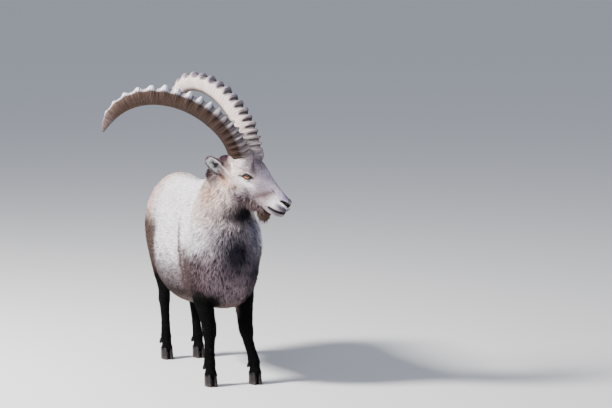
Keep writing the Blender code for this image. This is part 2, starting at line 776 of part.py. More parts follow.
def nostril_cutter(side):
    """A slanting slot that opens to the side and front of the nose."""
    axis = (FACE_AXIS * 0.86 - FACE_UP * 0.42 - HEAD_LEFT * (0.30 * side)).normalized()
    out = (HEAD_LEFT * side - axis * axis.dot(HEAD_LEFT * side)).normalized()
    return egg(f"nostril_{side}", on_face(0.2615, 0.0205 * side, -0.0585), (axis, out, axis.cross(out)),
               (0.0135, 0.0078, 0.0040), 8, 10)


def body_and_head():
    """The flesh of body, neck and legs, thinned, and the finer head, with the plane between them cut."""
    legs = [leg(f"{kind}_{name}_loft", rows, side) for kind, rows in LEGS for name, side in SIDES]
    shared = [neck(), skull()] + face_bulges()
    coarse = [trunk()] + legs
    body = fused("torso", coarse + shared, BODY_VOXEL, 9, BODY_TRIANGLES)
    head = fused("head", shared, HEAD_VOXEL, 5, HEAD_TRIANGLES)
    drop(*coarse, *shared)
    return body, head


HEAD_CUT_POINT = HORN_ROOT + HEADING * -0.125 + HEAD_UP * -0.055
HEAD_CUT_NORMAL = HEADING * 0.80 + HEAD_UP * 0.60


def finish_head(head):
    """Trims the neck end, sets the eyes' sockets, lids, mouth, nostrils and beard."""
    cutter = half_space("cutter", HEAD_CUT_POINT + HEAD_CUT_NORMAL.normalized() * TOUCH_GAP, HEAD_CUT_NORMAL)
    combine(head, cutter, "INTERSECT")
    drop(cutter)
    united(head, beard_locks() + [closed_hoop(f"lids_{name}", lids(side)) for name, side in SIDES])
    for name, side in SIDES:
        socket = ball("socket", eye_centre(side), EYE_RADIUS + TOUCH_GAP)
        for cutter in (eye_opening(side), socket, nostril_cutter(side)):
            combine(head, cutter, "DIFFERENCE")
            drop(cutter)
    slot = mouth_cutter()
    combine(head, slot, "DIFFERENCE")
    drop(slot)
    return keep_largest(head)


def trim_to(obj, root):
    """Cuts an outgrowth back to the surface that it grows from, with a gap."""
    stand_off = grown(root, TOUCH_GAP)
    combine(obj, stand_off, "DIFFERENCE")
    drop(stand_off)
    return keep_largest(obj)


def claw(name, foot, side, toe, finish):
    """One half of a cloven hoof: flat below, upright inside, sloping at the front."""
    x, y = foot
    width, long_top, long_base = 0.0235, 0.056, 0.068
    rings = []
    for share in (0.0, 0.12, 0.55, 1.0):
        height = (CORONET_HEIGHT - TOUCH_GAP) * share
        size = 1 - 0.10 * share
        shrink = 0.94 if share == 0.0 else 1.0
        length = (long_base + (long_top - long_base) * share) * shrink
        wide = width * size * shrink
        middle = y - 0.008 + 0.010 * share
        centre = x + toe * (0.0014 + width / 2)
        ring = []
        for turn in np.linspace(0, 2 * math.pi, 10, endpoint=False):
            c, s = math.cos(turn), math.sin(turn)
            point_in = 1 - 0.35 * max(0.0, -s) ** 2
            ring.append((centre + wide / 2 * np.sign(c) * abs(c) ** 0.75 * point_in - toe * 0.003 * max(0.0, -s) ** 2,
                         middle + length / 2 * s, height))
        rings.append(ring)
    return lofted(name, rings, finish)


def dewclaw(name, place, toe, finish):
    """A small horny cone at the back of the fetlock that points down and back."""
    axis = Vector((toe * 0.25, 0.45, -0.85)).normalized()
    side = axis.cross(Vector((0, 1, 0))).normalized()
    face = side.cross(axis)
    rings = []
    for share, size in ((-0.5, 0.8), (0.0, 1.0), (0.55, 0.85), (1.0, 0.35)):
        centre = Vector(place) + axis * (0.021 * share)
        rings.append([centre + side * (0.0085 * size * math.cos(a)) + face * (0.0065 * size * math.sin(a))
                      for a in np.linspace(0, 2 * math.pi, 8, endpoint=False)])
    return lofted(name, rings, finish)


def centre_on_origin():
    """Moves the model so that the middle of its outline stands on the origin, with its feet at height 0."""
    corners = np.array([v.co for obj in bpy.data.objects for v in obj.data.vertices])
    low, high = corners.min(0), corners.max(0)
    shift = Matrix.Translation((-(low[0] + high[0]) / 2, -(low[1] + high[1]) / 2, -low[2]))
    for obj in bpy.data.objects:
        obj.data.transform(shift)
    print("shift", [round(v, 5) for v in shift.translation])


def build():
    clear_scene()
    coat = material("coat", (0.52, 0.47, 0.45), 0.85)
    dark = material("leg_coat", (0.07, 0.05, 0.045), 0.8)
    horny = material("horn", (0.33, 0.27, 0.22), 0.55)
    hoof = material("hoof", (0.035, 0.03, 0.03), 0.45)
    wet = material("eye", (0.55, 0.28, 0.05), 0.08)

    body, head = body_and_head()
    finish_head(head)
    cutter = half_space("cutter", HEAD_CUT_POINT, HEAD_CUT_NORMAL)
    combine(body, cutter, "DIFFERENCE")
    drop(cutter)
    keep_largest(body)

    neck_part = cut_off(body, "neck", lambda spread: ball("cutter", NECK_BALL, NECK_BALL_RADIUS + spread, None, 14, 22))
    tail = trim_to(tail_loft(), body)
    flesh = [head, body, tail, neck_part]
    for name, side in SIDES:
        for kind, rows, post, joint in (
            ("foreleg", FORELEG, ((0.098 * side, -0.325), (0.080, 0.150), 0.300, 0.125), 0.222),
            ("hindleg", HINDLEG, ((0.098 * side, 0.370), (0.092, 0.170), 0.400, 0.180), 0.262),
        ):
            upper = cut_off(body, f"{kind}_{name}_upper", lambda spread: domed_post("cutter", *post, spread))
            lower = cut_off(upper, f"{kind}_{name}_lower", below(joint))
            drop(cut_off(lower, "foot", below(CORONET_HEIGHT)))
            flesh += [upper, lower]
            place = (rows[-2][1] * side, rows[-2][2])
            for toe_name, toe in (("inner", -side), ("outer", side)):
                claw(f"claw_{kind}_{name}_{toe_name}", place, side, toe, hoof)
                spur = dewclaw(f"dewclaw_{kind}_{name}_{toe_name}",
                               (place[0] + toe * 0.013, place[1] + 0.036, 0.078), toe, hoof)
                trim_to(spur, lower)
    for part in flesh:
        part.data.materials.clear()
        part.data.materials.append(dark if "leg" in part.name else coat)
    for name, side in SIDES:
        length = LEFT_HORN_LENGTH if side == LEFT else RIGHT_HORN_LENGTH
        trim_to(horn(f"horn_{name}", side, length, horny), head)
        leaf = trim_to(ear(f"ear_{name}", side, coat), head)
        trim_to(leaf, neck_part)
        ball(f"eye_{name}", eye_centre(side), EYE_RADIUS, wet)
    centre_on_origin()


build()
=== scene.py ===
import math

import bpy
import numpy as np
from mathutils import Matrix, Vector


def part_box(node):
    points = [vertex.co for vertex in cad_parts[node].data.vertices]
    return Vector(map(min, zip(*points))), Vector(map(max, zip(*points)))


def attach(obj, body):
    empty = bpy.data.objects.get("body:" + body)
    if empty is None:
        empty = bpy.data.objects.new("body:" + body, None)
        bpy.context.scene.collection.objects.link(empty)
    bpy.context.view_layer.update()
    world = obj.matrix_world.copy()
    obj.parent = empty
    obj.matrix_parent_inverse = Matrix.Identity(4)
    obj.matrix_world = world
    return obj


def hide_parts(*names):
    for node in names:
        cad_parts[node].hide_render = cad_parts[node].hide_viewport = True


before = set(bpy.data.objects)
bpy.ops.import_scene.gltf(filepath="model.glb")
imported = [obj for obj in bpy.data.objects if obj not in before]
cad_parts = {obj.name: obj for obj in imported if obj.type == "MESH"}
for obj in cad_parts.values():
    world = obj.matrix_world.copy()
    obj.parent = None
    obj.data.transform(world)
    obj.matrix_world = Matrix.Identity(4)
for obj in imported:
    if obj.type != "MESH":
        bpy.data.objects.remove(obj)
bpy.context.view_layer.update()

# Flesh: trunk, neck, skull, legs and tail under the coat, as overlapping closed lofts and eggs that are fused
# later. The head is turned 42.5 degrees to the left, tilted 8 with its left side up, and pitched 35 down.
TURN, PITCH, TILT = np.radians([42.5, 35.0, 8.0])
HEADING = np.array([np.sin(TURN), -np.cos(TURN), 0.0])
LEVEL_LEFT = np.array([np.cos(TURN), np.sin(TURN), 0.0])
UPRIGHT = np.array([0.0, 0.0, 1.0])
HEAD_LEFT = LEVEL_LEFT * np.cos(TILT) + UPRIGHT * np.sin(TILT)
HEAD_UP = UPRIGHT * np.cos(TILT) - LEVEL_LEFT * np.sin(TILT)
FACE_AXIS = HEADING * np.cos(PITCH) - HEAD_UP * np.sin(PITCH)
FACE_UP = HEADING * np.sin(PITCH) + HEAD_UP * np.cos(PITCH)
FACE = np.array([FACE_AXIS, HEAD_LEFT, FACE_UP])

# The eye's place from the horn roots, along the face, and the roots' place before the solids were moved so that
# their outline stands on the origin. The left eye's solid shows by how much they were moved.
EYE_PLACE = np.array([0.071, 0.0425, -0.054])
UNMOVED_ROOT = np.array([0.037, -0.47, 0.94])
HORN_ROOT = np.array(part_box("eye_left")).mean(0) - EYE_PLACE @ FACE
OFFSET = HORN_ROOT - UNMOVED_ROOT


def on_face(along, side, up):
    """A point by its distances along the face from the horn roots, to the left, and square to the face."""
    return HORN_ROOT + np.array([along, side, up]) @ FACE


def unit(v):
    """Each vector divided by its length."""
    return v / np.maximum(np.linalg.norm(v, axis=-1, keepdims=True), 1e-12)


def eased(rows, count):
    """Rows of numbers filled in along their first column by a cubic that never overshoots its rows."""
    rows = np.asarray(rows, float)
    along, values = rows[:, 0], rows[:, 1:]
    step = np.diff(along)[:, None]
    slope = np.diff(values, axis=0) / step
    tangent = np.zeros_like(values)
    same = slope[:-1] * slope[1:] > 0
    total = slope[:-1] + slope[1:]
    tangent[1:-1] = np.where(same, 2 * slope[:-1] * slope[1:] / np.where(same, total, 1.0), 0.0)
    tangent[0], tangent[-1] = slope[0], slope[-1]
    at = np.linspace(along[0], along[-1], count)
    order = np.sign(along[-1] - along[0])
    i = np.clip(np.searchsorted(along * order, at * order, side="right") - 1, 0, len(along) - 2)
    t = ((at - along[i]) / (along[i + 1] - along[i]))[:, None]
    filled = (
        (2 * t**3 - 3 * t**2 + 1) * values[i]
        + (t**3 - 2 * t**2 + t) * step[i] * tangent[i]
        + (3 * t**2 - 2 * t**3) * values[i + 1]
        + (t**3 - t**2) * step[i] * tangent[i + 1]
    )
    return np.column_stack([at, filled])


def turns(count):
    """Angles all the way round, evenly spaced, without the last, which would repeat the first."""
    return np.linspace(0, 2 * np.pi, count, endpoint=False)


def oval(half_width, above, below, power_above, power_below, count):
    """A closed outline, (side, up): a superellipse whose upper and lower halves differ."""
    c, s = np.cos(turns(count)), np.sin(turns(count))
    power = np.where(s >= 0, power_above, power_below)
    tall = np.where(s >= 0, above, below)
    side = half_width * np.sign(c) * np.abs(c) ** (2 / power)
    up = tall * np.sign(s) * np.abs(s) ** (2 / power)
    return side, up


def band(rows, count):
    """Triangles, two a field, of a grid of rows and columns of points whose last column meets its first."""
    k = np.arange(count)
    n = (k + 1) % count
    r = np.arange(rows - 1)[:, None] * count
    a, b, c, d = r + k, r + n, r + count + n, r + count + k
    return np.concatenate([np.stack([a, b, c], -1).reshape(-1, 3), np.stack([a, c, d], -1).reshape(-1, 3)])


def tube(rings):
    """A closed skin over rings of equal count, with a fan over each end. Its triangles face outwards."""
    rings = np.asarray(rings, float)
    rows, count = rings.shape[:2]
    points = np.vstack([rings.reshape(-1, 3), rings[0].mean(0), rings[-1].mean(0)])
    k = np.arange(count)
    n = (k + 1) % count
    first, last, top = rows * count, rows * count + 1, (rows - 1) * count
    faces = np.concatenate([
        band(rows, count),
        np.stack([np.full(count, first), n, k], -1),
        np.stack([np.full(count, last), top + k, top + n], -1),
    ])
    volume = np.linalg.det(points[faces]).sum()
    return points, faces if volume > 0 else faces[:, ::-1]


def egg(centre, axes, sizes, rows=18, count=28):
    """A closed ellipsoid: rings of an angle from one pole to the other, scaled along its three directions."""
    polar = np.pi * np.arange(1, rows)[:, None] / rows
    turn = turns(count)[None]
    local = np.stack([
        np.cos(polar) * np.ones_like(turn) * sizes[0],
        np.sin(polar) * np.cos(turn) * sizes[1],
        np.sin(polar) * np.sin(turn) * sizes[2],
    ], -1)
    return tube(centre + local @ np.asarray(axes))


trunk = []
for y, x, widest, half, top, bottom, above, below in eased((
    (-0.500, -0.010, 0.530, 0.030, 0.580, 0.480, 2.0, 2.0),
    (-0.480, -0.010, 0.520, 0.070, 0.635, 0.425, 2.0, 2.0),
    (-0.435, -0.008, 0.500, 0.107, 0.720, 0.352, 2.0, 2.1),
    (-0.370, -0.004, 0.490, 0.128, 0.785, 0.312, 1.9, 2.2),
    (-0.280, -0.002, 0.490, 0.138, 0.835, 0.296, 1.8, 2.2),
    (-0.170, 0.000, 0.480, 0.136, 0.820, 0.287, 1.8, 2.2),
    (-0.080, 0.000, 0.480, 0.152, 0.806, 0.284, 1.9, 2.2),
    (0.020, 0.000, 0.485, 0.164, 0.795, 0.272, 1.9, 2.2),
    (0.130, 0.000, 0.495, 0.169, 0.788, 0.268, 1.9, 2.2),
    (0.250, 0.000, 0.510, 0.164, 0.792, 0.296, 2.0, 2.2),
    (0.360, 0.000, 0.570, 0.146, 0.797, 0.390, 2.1, 2.1),
    (0.450, 0.000, 0.610, 0.122, 0.775, 0.465, 2.1, 2.0),
    (0.515, 0.000, 0.630, 0.088, 0.740, 0.525, 2.0, 2.0),
    (0.545, 0.000, 0.640, 0.048, 0.700, 0.585, 2.0, 2.0),
), 60):
    side, up = oval(half, top - widest, widest - bottom, above, below, 64)
    trunk.append(np.column_stack([x + side, np.full(len(side), y), widest + up]))
flesh = [tube(trunk)]

neck = []
base, middle, end = np.array([[-0.008, -0.265, 0.615], [-0.028, -0.372, 0.745], [0.012, -0.437, 0.828]])
for share, half, nape, throat in eased((
    (0.00, 0.128, 0.215, 0.200),
    (0.30, 0.115, 0.182, 0.155),
    (0.60, 0.090, 0.145, 0.116),
    (0.85, 0.067, 0.112, 0.092),
    (1.00, 0.050, 0.088, 0.076),
), 28):
    place = base * (1 - share) ** 2 + middle * 2 * share * (1 - share) + end * share**2
    heading = unit((middle - base) * (1 - share) + (end - middle) * share)
    across = unit(np.cross(heading, UPRIGHT))
    side, up = oval(half, nape, throat, 2.0, 2.0, 48)
    neck.append(place + side[:, None] * across + up[:, None] * np.cross(across, heading))
flesh.append(tube(neck))

skull = []
for along, widest, half, top, bottom, above, below in eased((
    (-0.095, -0.130, 0.046, -0.094, -0.178, 2.0, 2.0),
    (-0.050, -0.110, 0.062, -0.052, -0.180, 2.0, 2.0),
    (0.000, -0.075, 0.064, -0.014, -0.176, 2.2, 1.9),
    (0.035, -0.062, 0.062, 0.006, -0.170, 2.3, 1.8),
    (0.070, -0.058, 0.058, 0.008, -0.164, 2.3, 1.8),
    (0.110, -0.062, 0.050, -0.001, -0.163, 2.1, 1.8),
    (0.155, -0.078, 0.040, -0.016, -0.160, 1.9, 1.9),
    (0.200, -0.088, 0.034, -0.029, -0.152, 1.9, 2.0),
    (0.235, -0.090, 0.032, -0.038, -0.142, 2.0, 2.1),
    (0.258, -0.088, 0.028, -0.044, -0.128, 2.1, 2.2),
    (0.272, -0.084, 0.018, -0.056, -0.108, 2.0, 2.0),
), 60):
    side, up = oval(half, top - widest, widest - bottom, above, below, 48)
    skull.append(np.column_stack([np.full(len(side), along), side, widest + up]) @ FACE + HORN_ROOT - OFFSET)
flesh.append(tube(skull))

# Both sides of the face: eye socket, brow, cheek, temple, cheekbone, nostril and upper lip. Then the
# collars under the horns, the nape, the lower lip and the chin.
for side in (1, -1):
    for (along, out, up), sizes in (
        ((0.071, 0.036, -0.054), (0.032, 0.0245, 0.028)),
        ((0.066, 0.043, -0.036), (0.027, 0.020, 0.016)),
        ((0.044, 0.036, -0.128), (0.068, 0.030, 0.052)),
        ((-0.004, 0.034, -0.072), (0.070, 0.033, 0.044)),
        ((0.105, 0.030, -0.080), (0.045, 0.019, 0.018)),
        ((0.256, 0.013, -0.060), (0.018, 0.012, 0.016)),
        ((0.246, 0.014, -0.086), (0.030, 0.017, 0.017)),
    ):
        flesh.append(egg(on_face(along, out * side, up) - OFFSET, FACE, sizes))
    for ahead, out, up, sizes in (
        (-0.003, 0.037, -0.018, (0.055, 0.0445, 0.056)),
        (-0.003, 0.033, -0.050, (0.050, 0.040, 0.054)),
        (0.012, 0.037, -0.019, (0.043, 0.0470, 0.044)),
    ):
        collar = HORN_ROOT - OFFSET + HEAD_LEFT * (out * side) + HEAD_UP * up + HEADING * ahead
        flesh.append(egg(collar, (HEAD_UP, HEAD_LEFT, HEADING), sizes))
flesh.append(egg(np.array([-0.046, -0.382, 0.848]), np.eye(3), (0.055, 0.052, 0.052)))
flesh.append(egg(on_face(0.247, 0, -0.117) - OFFSET, FACE, (0.026, 0.021, 0.018)))
flesh.append(egg(on_face(0.236, 0, -0.128) - OFFSET, FACE, (0.024, 0.019, 0.014)))

# Forelegs, then hind legs, from the body to the pastern. The left foreleg bows in by up to 18 mm above its knee
for rows in (
    (
        (0.700, 0.080, -0.270, 0.040, 0.070, 0.090),
        (0.620, 0.096, -0.300, 0.046, 0.090, 0.135),
        (0.540, 0.102, -0.315, 0.050, 0.095, 0.165),
        (0.460, 0.101, -0.300, 0.049, 0.085, 0.145),
        (0.390, 0.098, -0.292, 0.045, 0.066, 0.095),
        (0.325, 0.092, -0.312, 0.040, 0.048, 0.052),
        (0.270, 0.088, -0.338, 0.032, 0.036, 0.035),
        (0.235, 0.084, -0.352, 0.0300, 0.033, 0.029),
        (0.205, 0.084, -0.360, 0.0285, 0.031, 0.028),
        (0.180, 0.085, -0.366, 0.0230, 0.024, 0.024),
        (0.140, 0.089, -0.379, 0.0210, 0.022, 0.022),
        (0.110, 0.092, -0.390, 0.0225, 0.023, 0.024),
        (0.092, 0.093, -0.397, 0.0245, 0.025, 0.026),
        (0.070, 0.093, -0.405, 0.0220, 0.024, 0.022),
        (0.046, 0.093, -0.412, 0.0260, 0.031, 0.025),
        (0.030, 0.093, -0.415, 0.0200, 0.025, 0.018),
    ),
    (
        (0.730, 0.064, 0.370, 0.045, 0.090, 0.090),
        (0.650, 0.076, 0.375, 0.060, 0.135, 0.145),
        (0.580, 0.086, 0.365, 0.062, 0.145, 0.150),
        (0.500, 0.094, 0.335, 0.058, 0.125, 0.130),
        (0.430, 0.096, 0.310, 0.050, 0.095, 0.100),
        (0.370, 0.088, 0.330, 0.039, 0.065, 0.072),
        (0.320, 0.076, 0.362, 0.029, 0.042, 0.048),
        (0.285, 0.068, 0.385, 0.0250, 0.033, 0.038),
        (0.255, 0.066, 0.392, 0.0255, 0.032, 0.034),
        (0.220, 0.066, 0.386, 0.0215, 0.027, 0.026),
        (0.170, 0.067, 0.372, 0.0190, 0.022, 0.022),
        (0.120, 0.069, 0.358, 0.0205, 0.023, 0.023),
        (0.095, 0.070, 0.351, 0.0235, 0.025, 0.026),
        (0.070, 0.070, 0.344, 0.0215, 0.024, 0.022),
        (0.046, 0.070, 0.338, 0.0255, 0.030, 0.025),
        (0.030, 0.070, 0.335, 0.0195, 0.024, 0.018),
    ),
):
    for out_side in (1, -1):
        leg = []
        for height, out, along, half, front, back in eased(rows, 90):
            if along < 0 and out_side == 1:
                out -= np.interp(height, (0.090, 0.200, 0.320, 0.450, 0.600), (0.0, 0.011, 0.018, 0.013, 0.0))
            side, up = oval(half, back, front, 2.0, 2.0, 32)
            leg.append(np.column_stack([out * out_side + side, along + up, np.full(len(side), height)]))
        flesh.append(tube(leg))

# Tail: it leaves the rump 25 degrees below level and bends down by 55 more
TAIL_LENGTH, TAIL_FIRST, TAIL_BEND = 0.15, math.radians(25), math.radians(55)
tail = []
for share, half, thick in eased((
    (0.00, 0.026, 0.022),
    (0.25, 0.024, 0.018),
    (0.60, 0.021, 0.014),
    (0.85, 0.013, 0.009),
    (1.00, 0.003, 0.003),
), 24):
    angle = TAIL_FIRST + TAIL_BEND * min(1.0, share * 1.6)
    mean = (TAIL_FIRST + angle) / 2
    reach = TAIL_LENGTH * share
    place = np.array([0, 0.500 + reach * math.cos(mean), 0.715 - reach * math.sin(mean)])
    side, up = oval(half, thick, thick, 2.0, 2.0, 24)
    tail.append(place + side[:, None] * np.array([1, 0, 0])
                + up[:, None] * np.array([0, math.sin(angle), math.cos(angle)]))
flesh.append(tube(tail))


# Skin: one closed surface over all the flesh, under the coat by the coat's depth. It is fused from the lofts,
# evened out, drawn in, thinned, and then given its eye sockets, nostrils and mouth line.
SKIN_TRIANGLES = 170000
FUSED_GRAIN, EVENING_ROUNDS = ((0.0027, 52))
EVENED_SHARE, SPARED_SHARE = 0.55, 0.88
OPENING_LONG, OPENING_HIGH = 0.0172, 0.0088
MOUTH_CORNER, MOUTH_LENGTH, MOUTH_DEPTH, NOSTRIL_DEPTH = 0.204, 0.081, 0.0032, 0.0085


def make_object(name, points, faces, material=None, colours=None, uv=None):
    """A mesh object from arrays, with a colour a point in the attribute coat and a place a corner in OFBake."""
    mesh = bpy.data.meshes.new(name)
    faces = np.ascontiguousarray(faces, np.int32)
    mesh.vertices.add(len(points))
    mesh.vertices.foreach_set("co", np.ascontiguousarray(points, np.float32).ravel())
    mesh.loops.add(faces.size)
    mesh.loops.foreach_set("vertex_index", faces.ravel())
    mesh.polygons.add(len(faces))
    mesh.polygons.foreach_set("loop_start", np.arange(len(faces), dtype=np.int32) * faces.shape[1])
    mesh.polygons.foreach_set("use_smooth", np.ones(len(faces), bool))
    mesh.update(calc_edges=True)
    if colours is not None:
        layer = mesh.color_attributes.new("coat", "FLOAT_COLOR", "POINT")
        rgba = np.ones((len(points), 4), np.float32)
        rgba[:, :3] = colours
        layer.data.foreach_set("color", rgba.ravel())
    if uv is not None:
        layer = mesh.uv_layers.new(name="OFBake")
        layer.data.foreach_set("uv", np.ascontiguousarray(uv, np.float32).ravel())
    if material is not None:
        mesh.materials.append(material)
    made = bpy.data.objects.new(name, mesh)
    bpy.context.scene.collection.objects.link(made)
    return made


def settled(obj):
    """Points and triangles of what an object's modifiers make. The object is then removed."""
    graph = bpy.context.evaluated_depsgraph_get()
    mesh = bpy.data.meshes.new_from_object(obj.evaluated_get(graph))
    mesh.calc_loop_triangles()
    points = np.empty(len(mesh.vertices) * 3, np.float32)
    mesh.vertices.foreach_get("co", points)
    faces = np.empty(len(mesh.loop_triangles) * 3, np.int32)
    mesh.loop_triangles.foreach_get("vertices", faces)
    bpy.data.objects.remove(obj)
    bpy.data.meshes.remove(mesh)
    return points.reshape(-1, 3).astype(float), faces.reshape(-1, 3)


def point_normals(points, faces):
    """Each point's normal: the sum of its triangles' normals, weighted by area."""
    corner = points[faces]
    normal = np.cross(corner[:, 1] - corner[:, 0], corner[:, 2] - corner[:, 0])
    total = np.zeros_like(points)
    for axis in range(3):
        total[:, axis] = np.bincount(faces.ravel(), np.repeat(normal[:, axis], 3), len(points))
    return unit(total)


def ramp(low, high, value):
    """0 at low, 1 at high, with a smooth start and end. Low may be the greater."""
    t = np.clip((value - low) / (high - low), 0, 1)
    return t * t * (3 - 2 * t)


def bell(value, width):
    """1 at zero, falling off as a bell over a width."""
    return np.exp(-((value / width) ** 2))


def face_place(points):
    """Points by their distances along the face from the horn roots, to the left, and square to the face."""
    return (points - HORN_ROOT) @ FACE.T


def head_share(p):
    """1 on the head and 0 behind it, across the plane that parts the head from the neck."""
    normal = unit(HEADING * 0.80 + HEAD_UP * 0.60)
    start = HORN_ROOT - OFFSET - HEADING * 0.125 - HEAD_UP * 0.055
    return ramp(-0.012, 0.022, (p - start) @ normal)


def leg_share(p):
    """1 on the legs below the body and 0 above, with the forelegs' edge lower than the hind legs'."""
    front = ramp(0.375, 0.325, p[:, 2]) * ramp(-0.20, -0.25, p[:, 1])
    hind = ramp(0.415, 0.355, p[:, 2] + 0.10 * (p[:, 1] - 0.33)) * ramp(0.19, 0.27, p[:, 1])
    return np.maximum(front, hind)


counts = np.cumsum([0] + [len(points) for points, _ in flesh])
fused = make_object("fused", np.concatenate([points for points, _ in flesh]),
                    np.concatenate([faces + start for (_, faces), start in zip(flesh, counts)]))
remesh = fused.modifiers.new("fuse", "REMESH")
remesh.mode = "VOXEL"
remesh.voxel_size = FUSED_GRAIN
points, faces = settled(fused)

# Evening out: each point moves part of the way to the mean of its neighbours, less far on the head and the legs
sides = np.concatenate([faces[:, [0, 1]], faces[:, [1, 2]], faces[:, [2, 0]]])
edges = np.unique(np.sort(sides, axis=1), axis=0)
ends = np.concatenate([edges[:, 0], edges[:, 1]])
others = np.concatenate([edges[:, 1], edges[:, 0]])
degree = np.bincount(ends, minlength=len(points))
softness = EVENED_SHARE * (1 - SPARED_SHARE * np.maximum(head_share(points), leg_share(points)))[:, None]
for _ in range(EVENING_ROUNDS):
    near = np.stack([np.bincount(ends, points[others, axis], len(points)) for axis in range(3)], -1)
    points += (near / degree[:, None] - points) * softness

# Drawing in: 6.5 mm under the long coat of the body, 5 mm under the tail's, and 3 mm on the head and the legs
head = head_share(points)
tail_share = ramp(0.525, 0.56, points[:, 1]) * ramp(0.76, 0.72, points[:, 2])
inset = 0.0065 - 0.0035 * np.maximum(head, leg_share(points)) - 0.0015 * tail_share
points -= point_normals(points, faces) * inset[:, None]

# Thinning spares the head
evened = make_object("evened", points, faces)
keep = evened.vertex_groups.new(name="keep")
for level in (0.25, 0.5, 0.75, 1.0):
    keep.add(np.flatnonzero(np.abs(head - level) <= 0.125).tolist(), level, "REPLACE")
thin = evened.modifiers.new("thin", "DECIMATE")
thin.ratio = min(1.0, SKIN_TRIANGLES / len(faces))
thin.vertex_group = "keep"
thin.invert_vertex_group = True
thin.vertex_group_factor = 1.0
skin_points, skin_faces = settled(evened)


def eye_axes(side):
    """Rows: an eye's gaze, the direction of its opening, and upright on both."""
    gaze = unit(HEADING * 0.34 + HEAD_LEFT * (0.93 * side) + HEAD_UP * 0.06)
    level = HEADING * 0.96 - HEAD_UP * 0.20
    level = unit(level - gaze * (gaze @ level))
    upright = np.cross(level, gaze) * side
    return np.array([gaze, level, upright * np.sign(upright @ HEAD_UP)])


def about_eye(spot, side):
    """How far in front of an eye's middle, and how far from its opening's middle in shares of the opening."""
    local = (spot - EYE_PLACE * [1, side, 1]) @ FACE @ eye_axes(side).T
    return local[:, 0], np.hypot(local[:, 1] / OPENING_LONG, local[:, 2] / OPENING_HIGH)


def to_line(spot, start, end):
    """Distance from a straight line between two places."""
    start, end = np.array(start), np.array(end)
    share = np.clip(((spot - start) @ (end - start)) / ((end - start) @ (end - start)), 0, 1)
    return np.linalg.norm(spot - start - share[..., None] * (end - start), axis=-1)


def nostril_distance(spot):
    """Distance from the slanting slits of the nostrils, which run forwards and inwards on both sides."""
    folded = np.stack([spot[..., 0], np.abs(spot[..., 1]), spot[..., 2]], -1)
    rear, bend, front = np.array([[0.239, 0.0245, -0.057], [0.255, 0.019, -0.057], [0.271, 0.0085, -0.0625]])
    inwards = np.array([-0.0020, -0.0053, -0.0063])
    narrower = 0.0030 * ramp(0.262, 0.238, spot[..., 0])
    return narrower + np.min([to_line(folded, start + shift, end + shift)
                              for start, end in ((rear, bend), (bend, front)) for shift in (0, inwards)], 0)


def mouth_distance(spot):
    """Distance from the line between the lips, which sags between its two ends, and how far along it."""
    along = spot[..., 0]
    share = np.clip((along - MOUTH_CORNER) / MOUTH_LENGTH, 0, 1)
    line = -0.1135 + 0.020 * share - 0.004 * np.sin(np.pi * share)
    return np.where((along > MOUTH_CORNER - 0.001) & (along < 0.30), np.abs(spot[..., 2] - line), 1.0), share


# The face is pressed into the skin along the gaze for the sockets, and along the normals for nostrils and mouth
normals = point_normals(skin_points, skin_faces)
spot = face_place(skin_points + OFFSET)
for side in (1, -1):
    ahead, reach = about_eye(spot, side)
    sunk = np.where(ahead > 0, ramp(1.9, 1.2, reach) * 0.0030 + ramp(1.25, 0.9, reach) * 0.010, 0)
    skin_points -= eye_axes(side)[0] * sunk[:, None]
skin_points -= normals * (NOSTRIL_DEPTH * ramp(0.0080, 0.0026, nostril_distance(spot)))[:, None]
skin_points -= normals * (MOUTH_DEPTH * bell(mouth_distance(spot)[0], 0.0026))[:, None]
skin_points += OFFSET
normals = point_normals(skin_points, skin_faces)


# Markings, shared by the skin and the coat: silver grey body, dark streaked chest, black brown legs, pale neck
# with a dark nape, and a face with a mauve bridge, pale rings round the eyes, dark jaw and whitish lips. Painted
# light and shade are among them: shade on the chest's and neck's left side, under the jaw, along the crease
# behind the shoulder, below each eye's front corner, in the nostrils and between the lips, and light on the
# bridge's top.
INK, UMBER = (10, 5, 7), (84, 68, 74)
MIDDLE_TONE, DEEPENING, BRIGHTEST = 0.62, 1.4, 0.84


def linear(red, green, blue):
    """A colour as the eye names it, from 0 to 255, as the shares of light that a shader takes."""
    v = np.array([red, green, blue]) / 255
    return np.where(v <= 0.04045, v / 12.92, ((v + 0.055) / 1.055) ** 2.4)


def layered(base, *layers):
    """A base colour with others laid over it in turn, each by its own share at every point."""
    for shade, share in layers:
        share = np.asarray(share)[..., None]
        base = base * (1 - share) + linear(*shade) * share
    return base


def spots(place, *rows):
    """Layers that are soft spots: each a shade, its share, and a bell round a middle with three widths."""
    layers = []
    for shade, share, middle, size in rows:
        far = (((place - np.array(middle)) / np.array(size)) ** 2).sum(-1)
        layers.append((shade, np.minimum(1, share * np.exp(-far))))
    return layers


def stroke(place, start, end, width):
    """1 along a straight line between two places, falling off as a bell over its width."""
    return bell(to_line(place, start, end), width)


def capped(tone):
    """Colours of a tube's points, with its first and last again for the middles of the two fans."""
    return np.vstack([tone, tone[:1], tone[-1:]])


def mottle(p, size, seed):
    """Uneven spread between about -1 and 1: a sum of waves of a given size in drawn directions."""
    draw = np.random.default_rng(seed)
    total = np.zeros(len(p))
    for _ in range(7):
        wave = unit(draw.normal(size=3)) * draw.uniform(0.7, 1.6) * 2 * np.pi / size
        total += np.sin(p @ wave + draw.uniform(0, 2 * np.pi))
    return total / 3.2


def tail_place(p):
    """1 on the tail and 0 off it."""
    return ramp(0.530, 0.560, p[:, 1]) * ramp(0.10, 0.04, np.abs(p[:, 0])) * ramp(0.50, 0.56, p[:, 2])


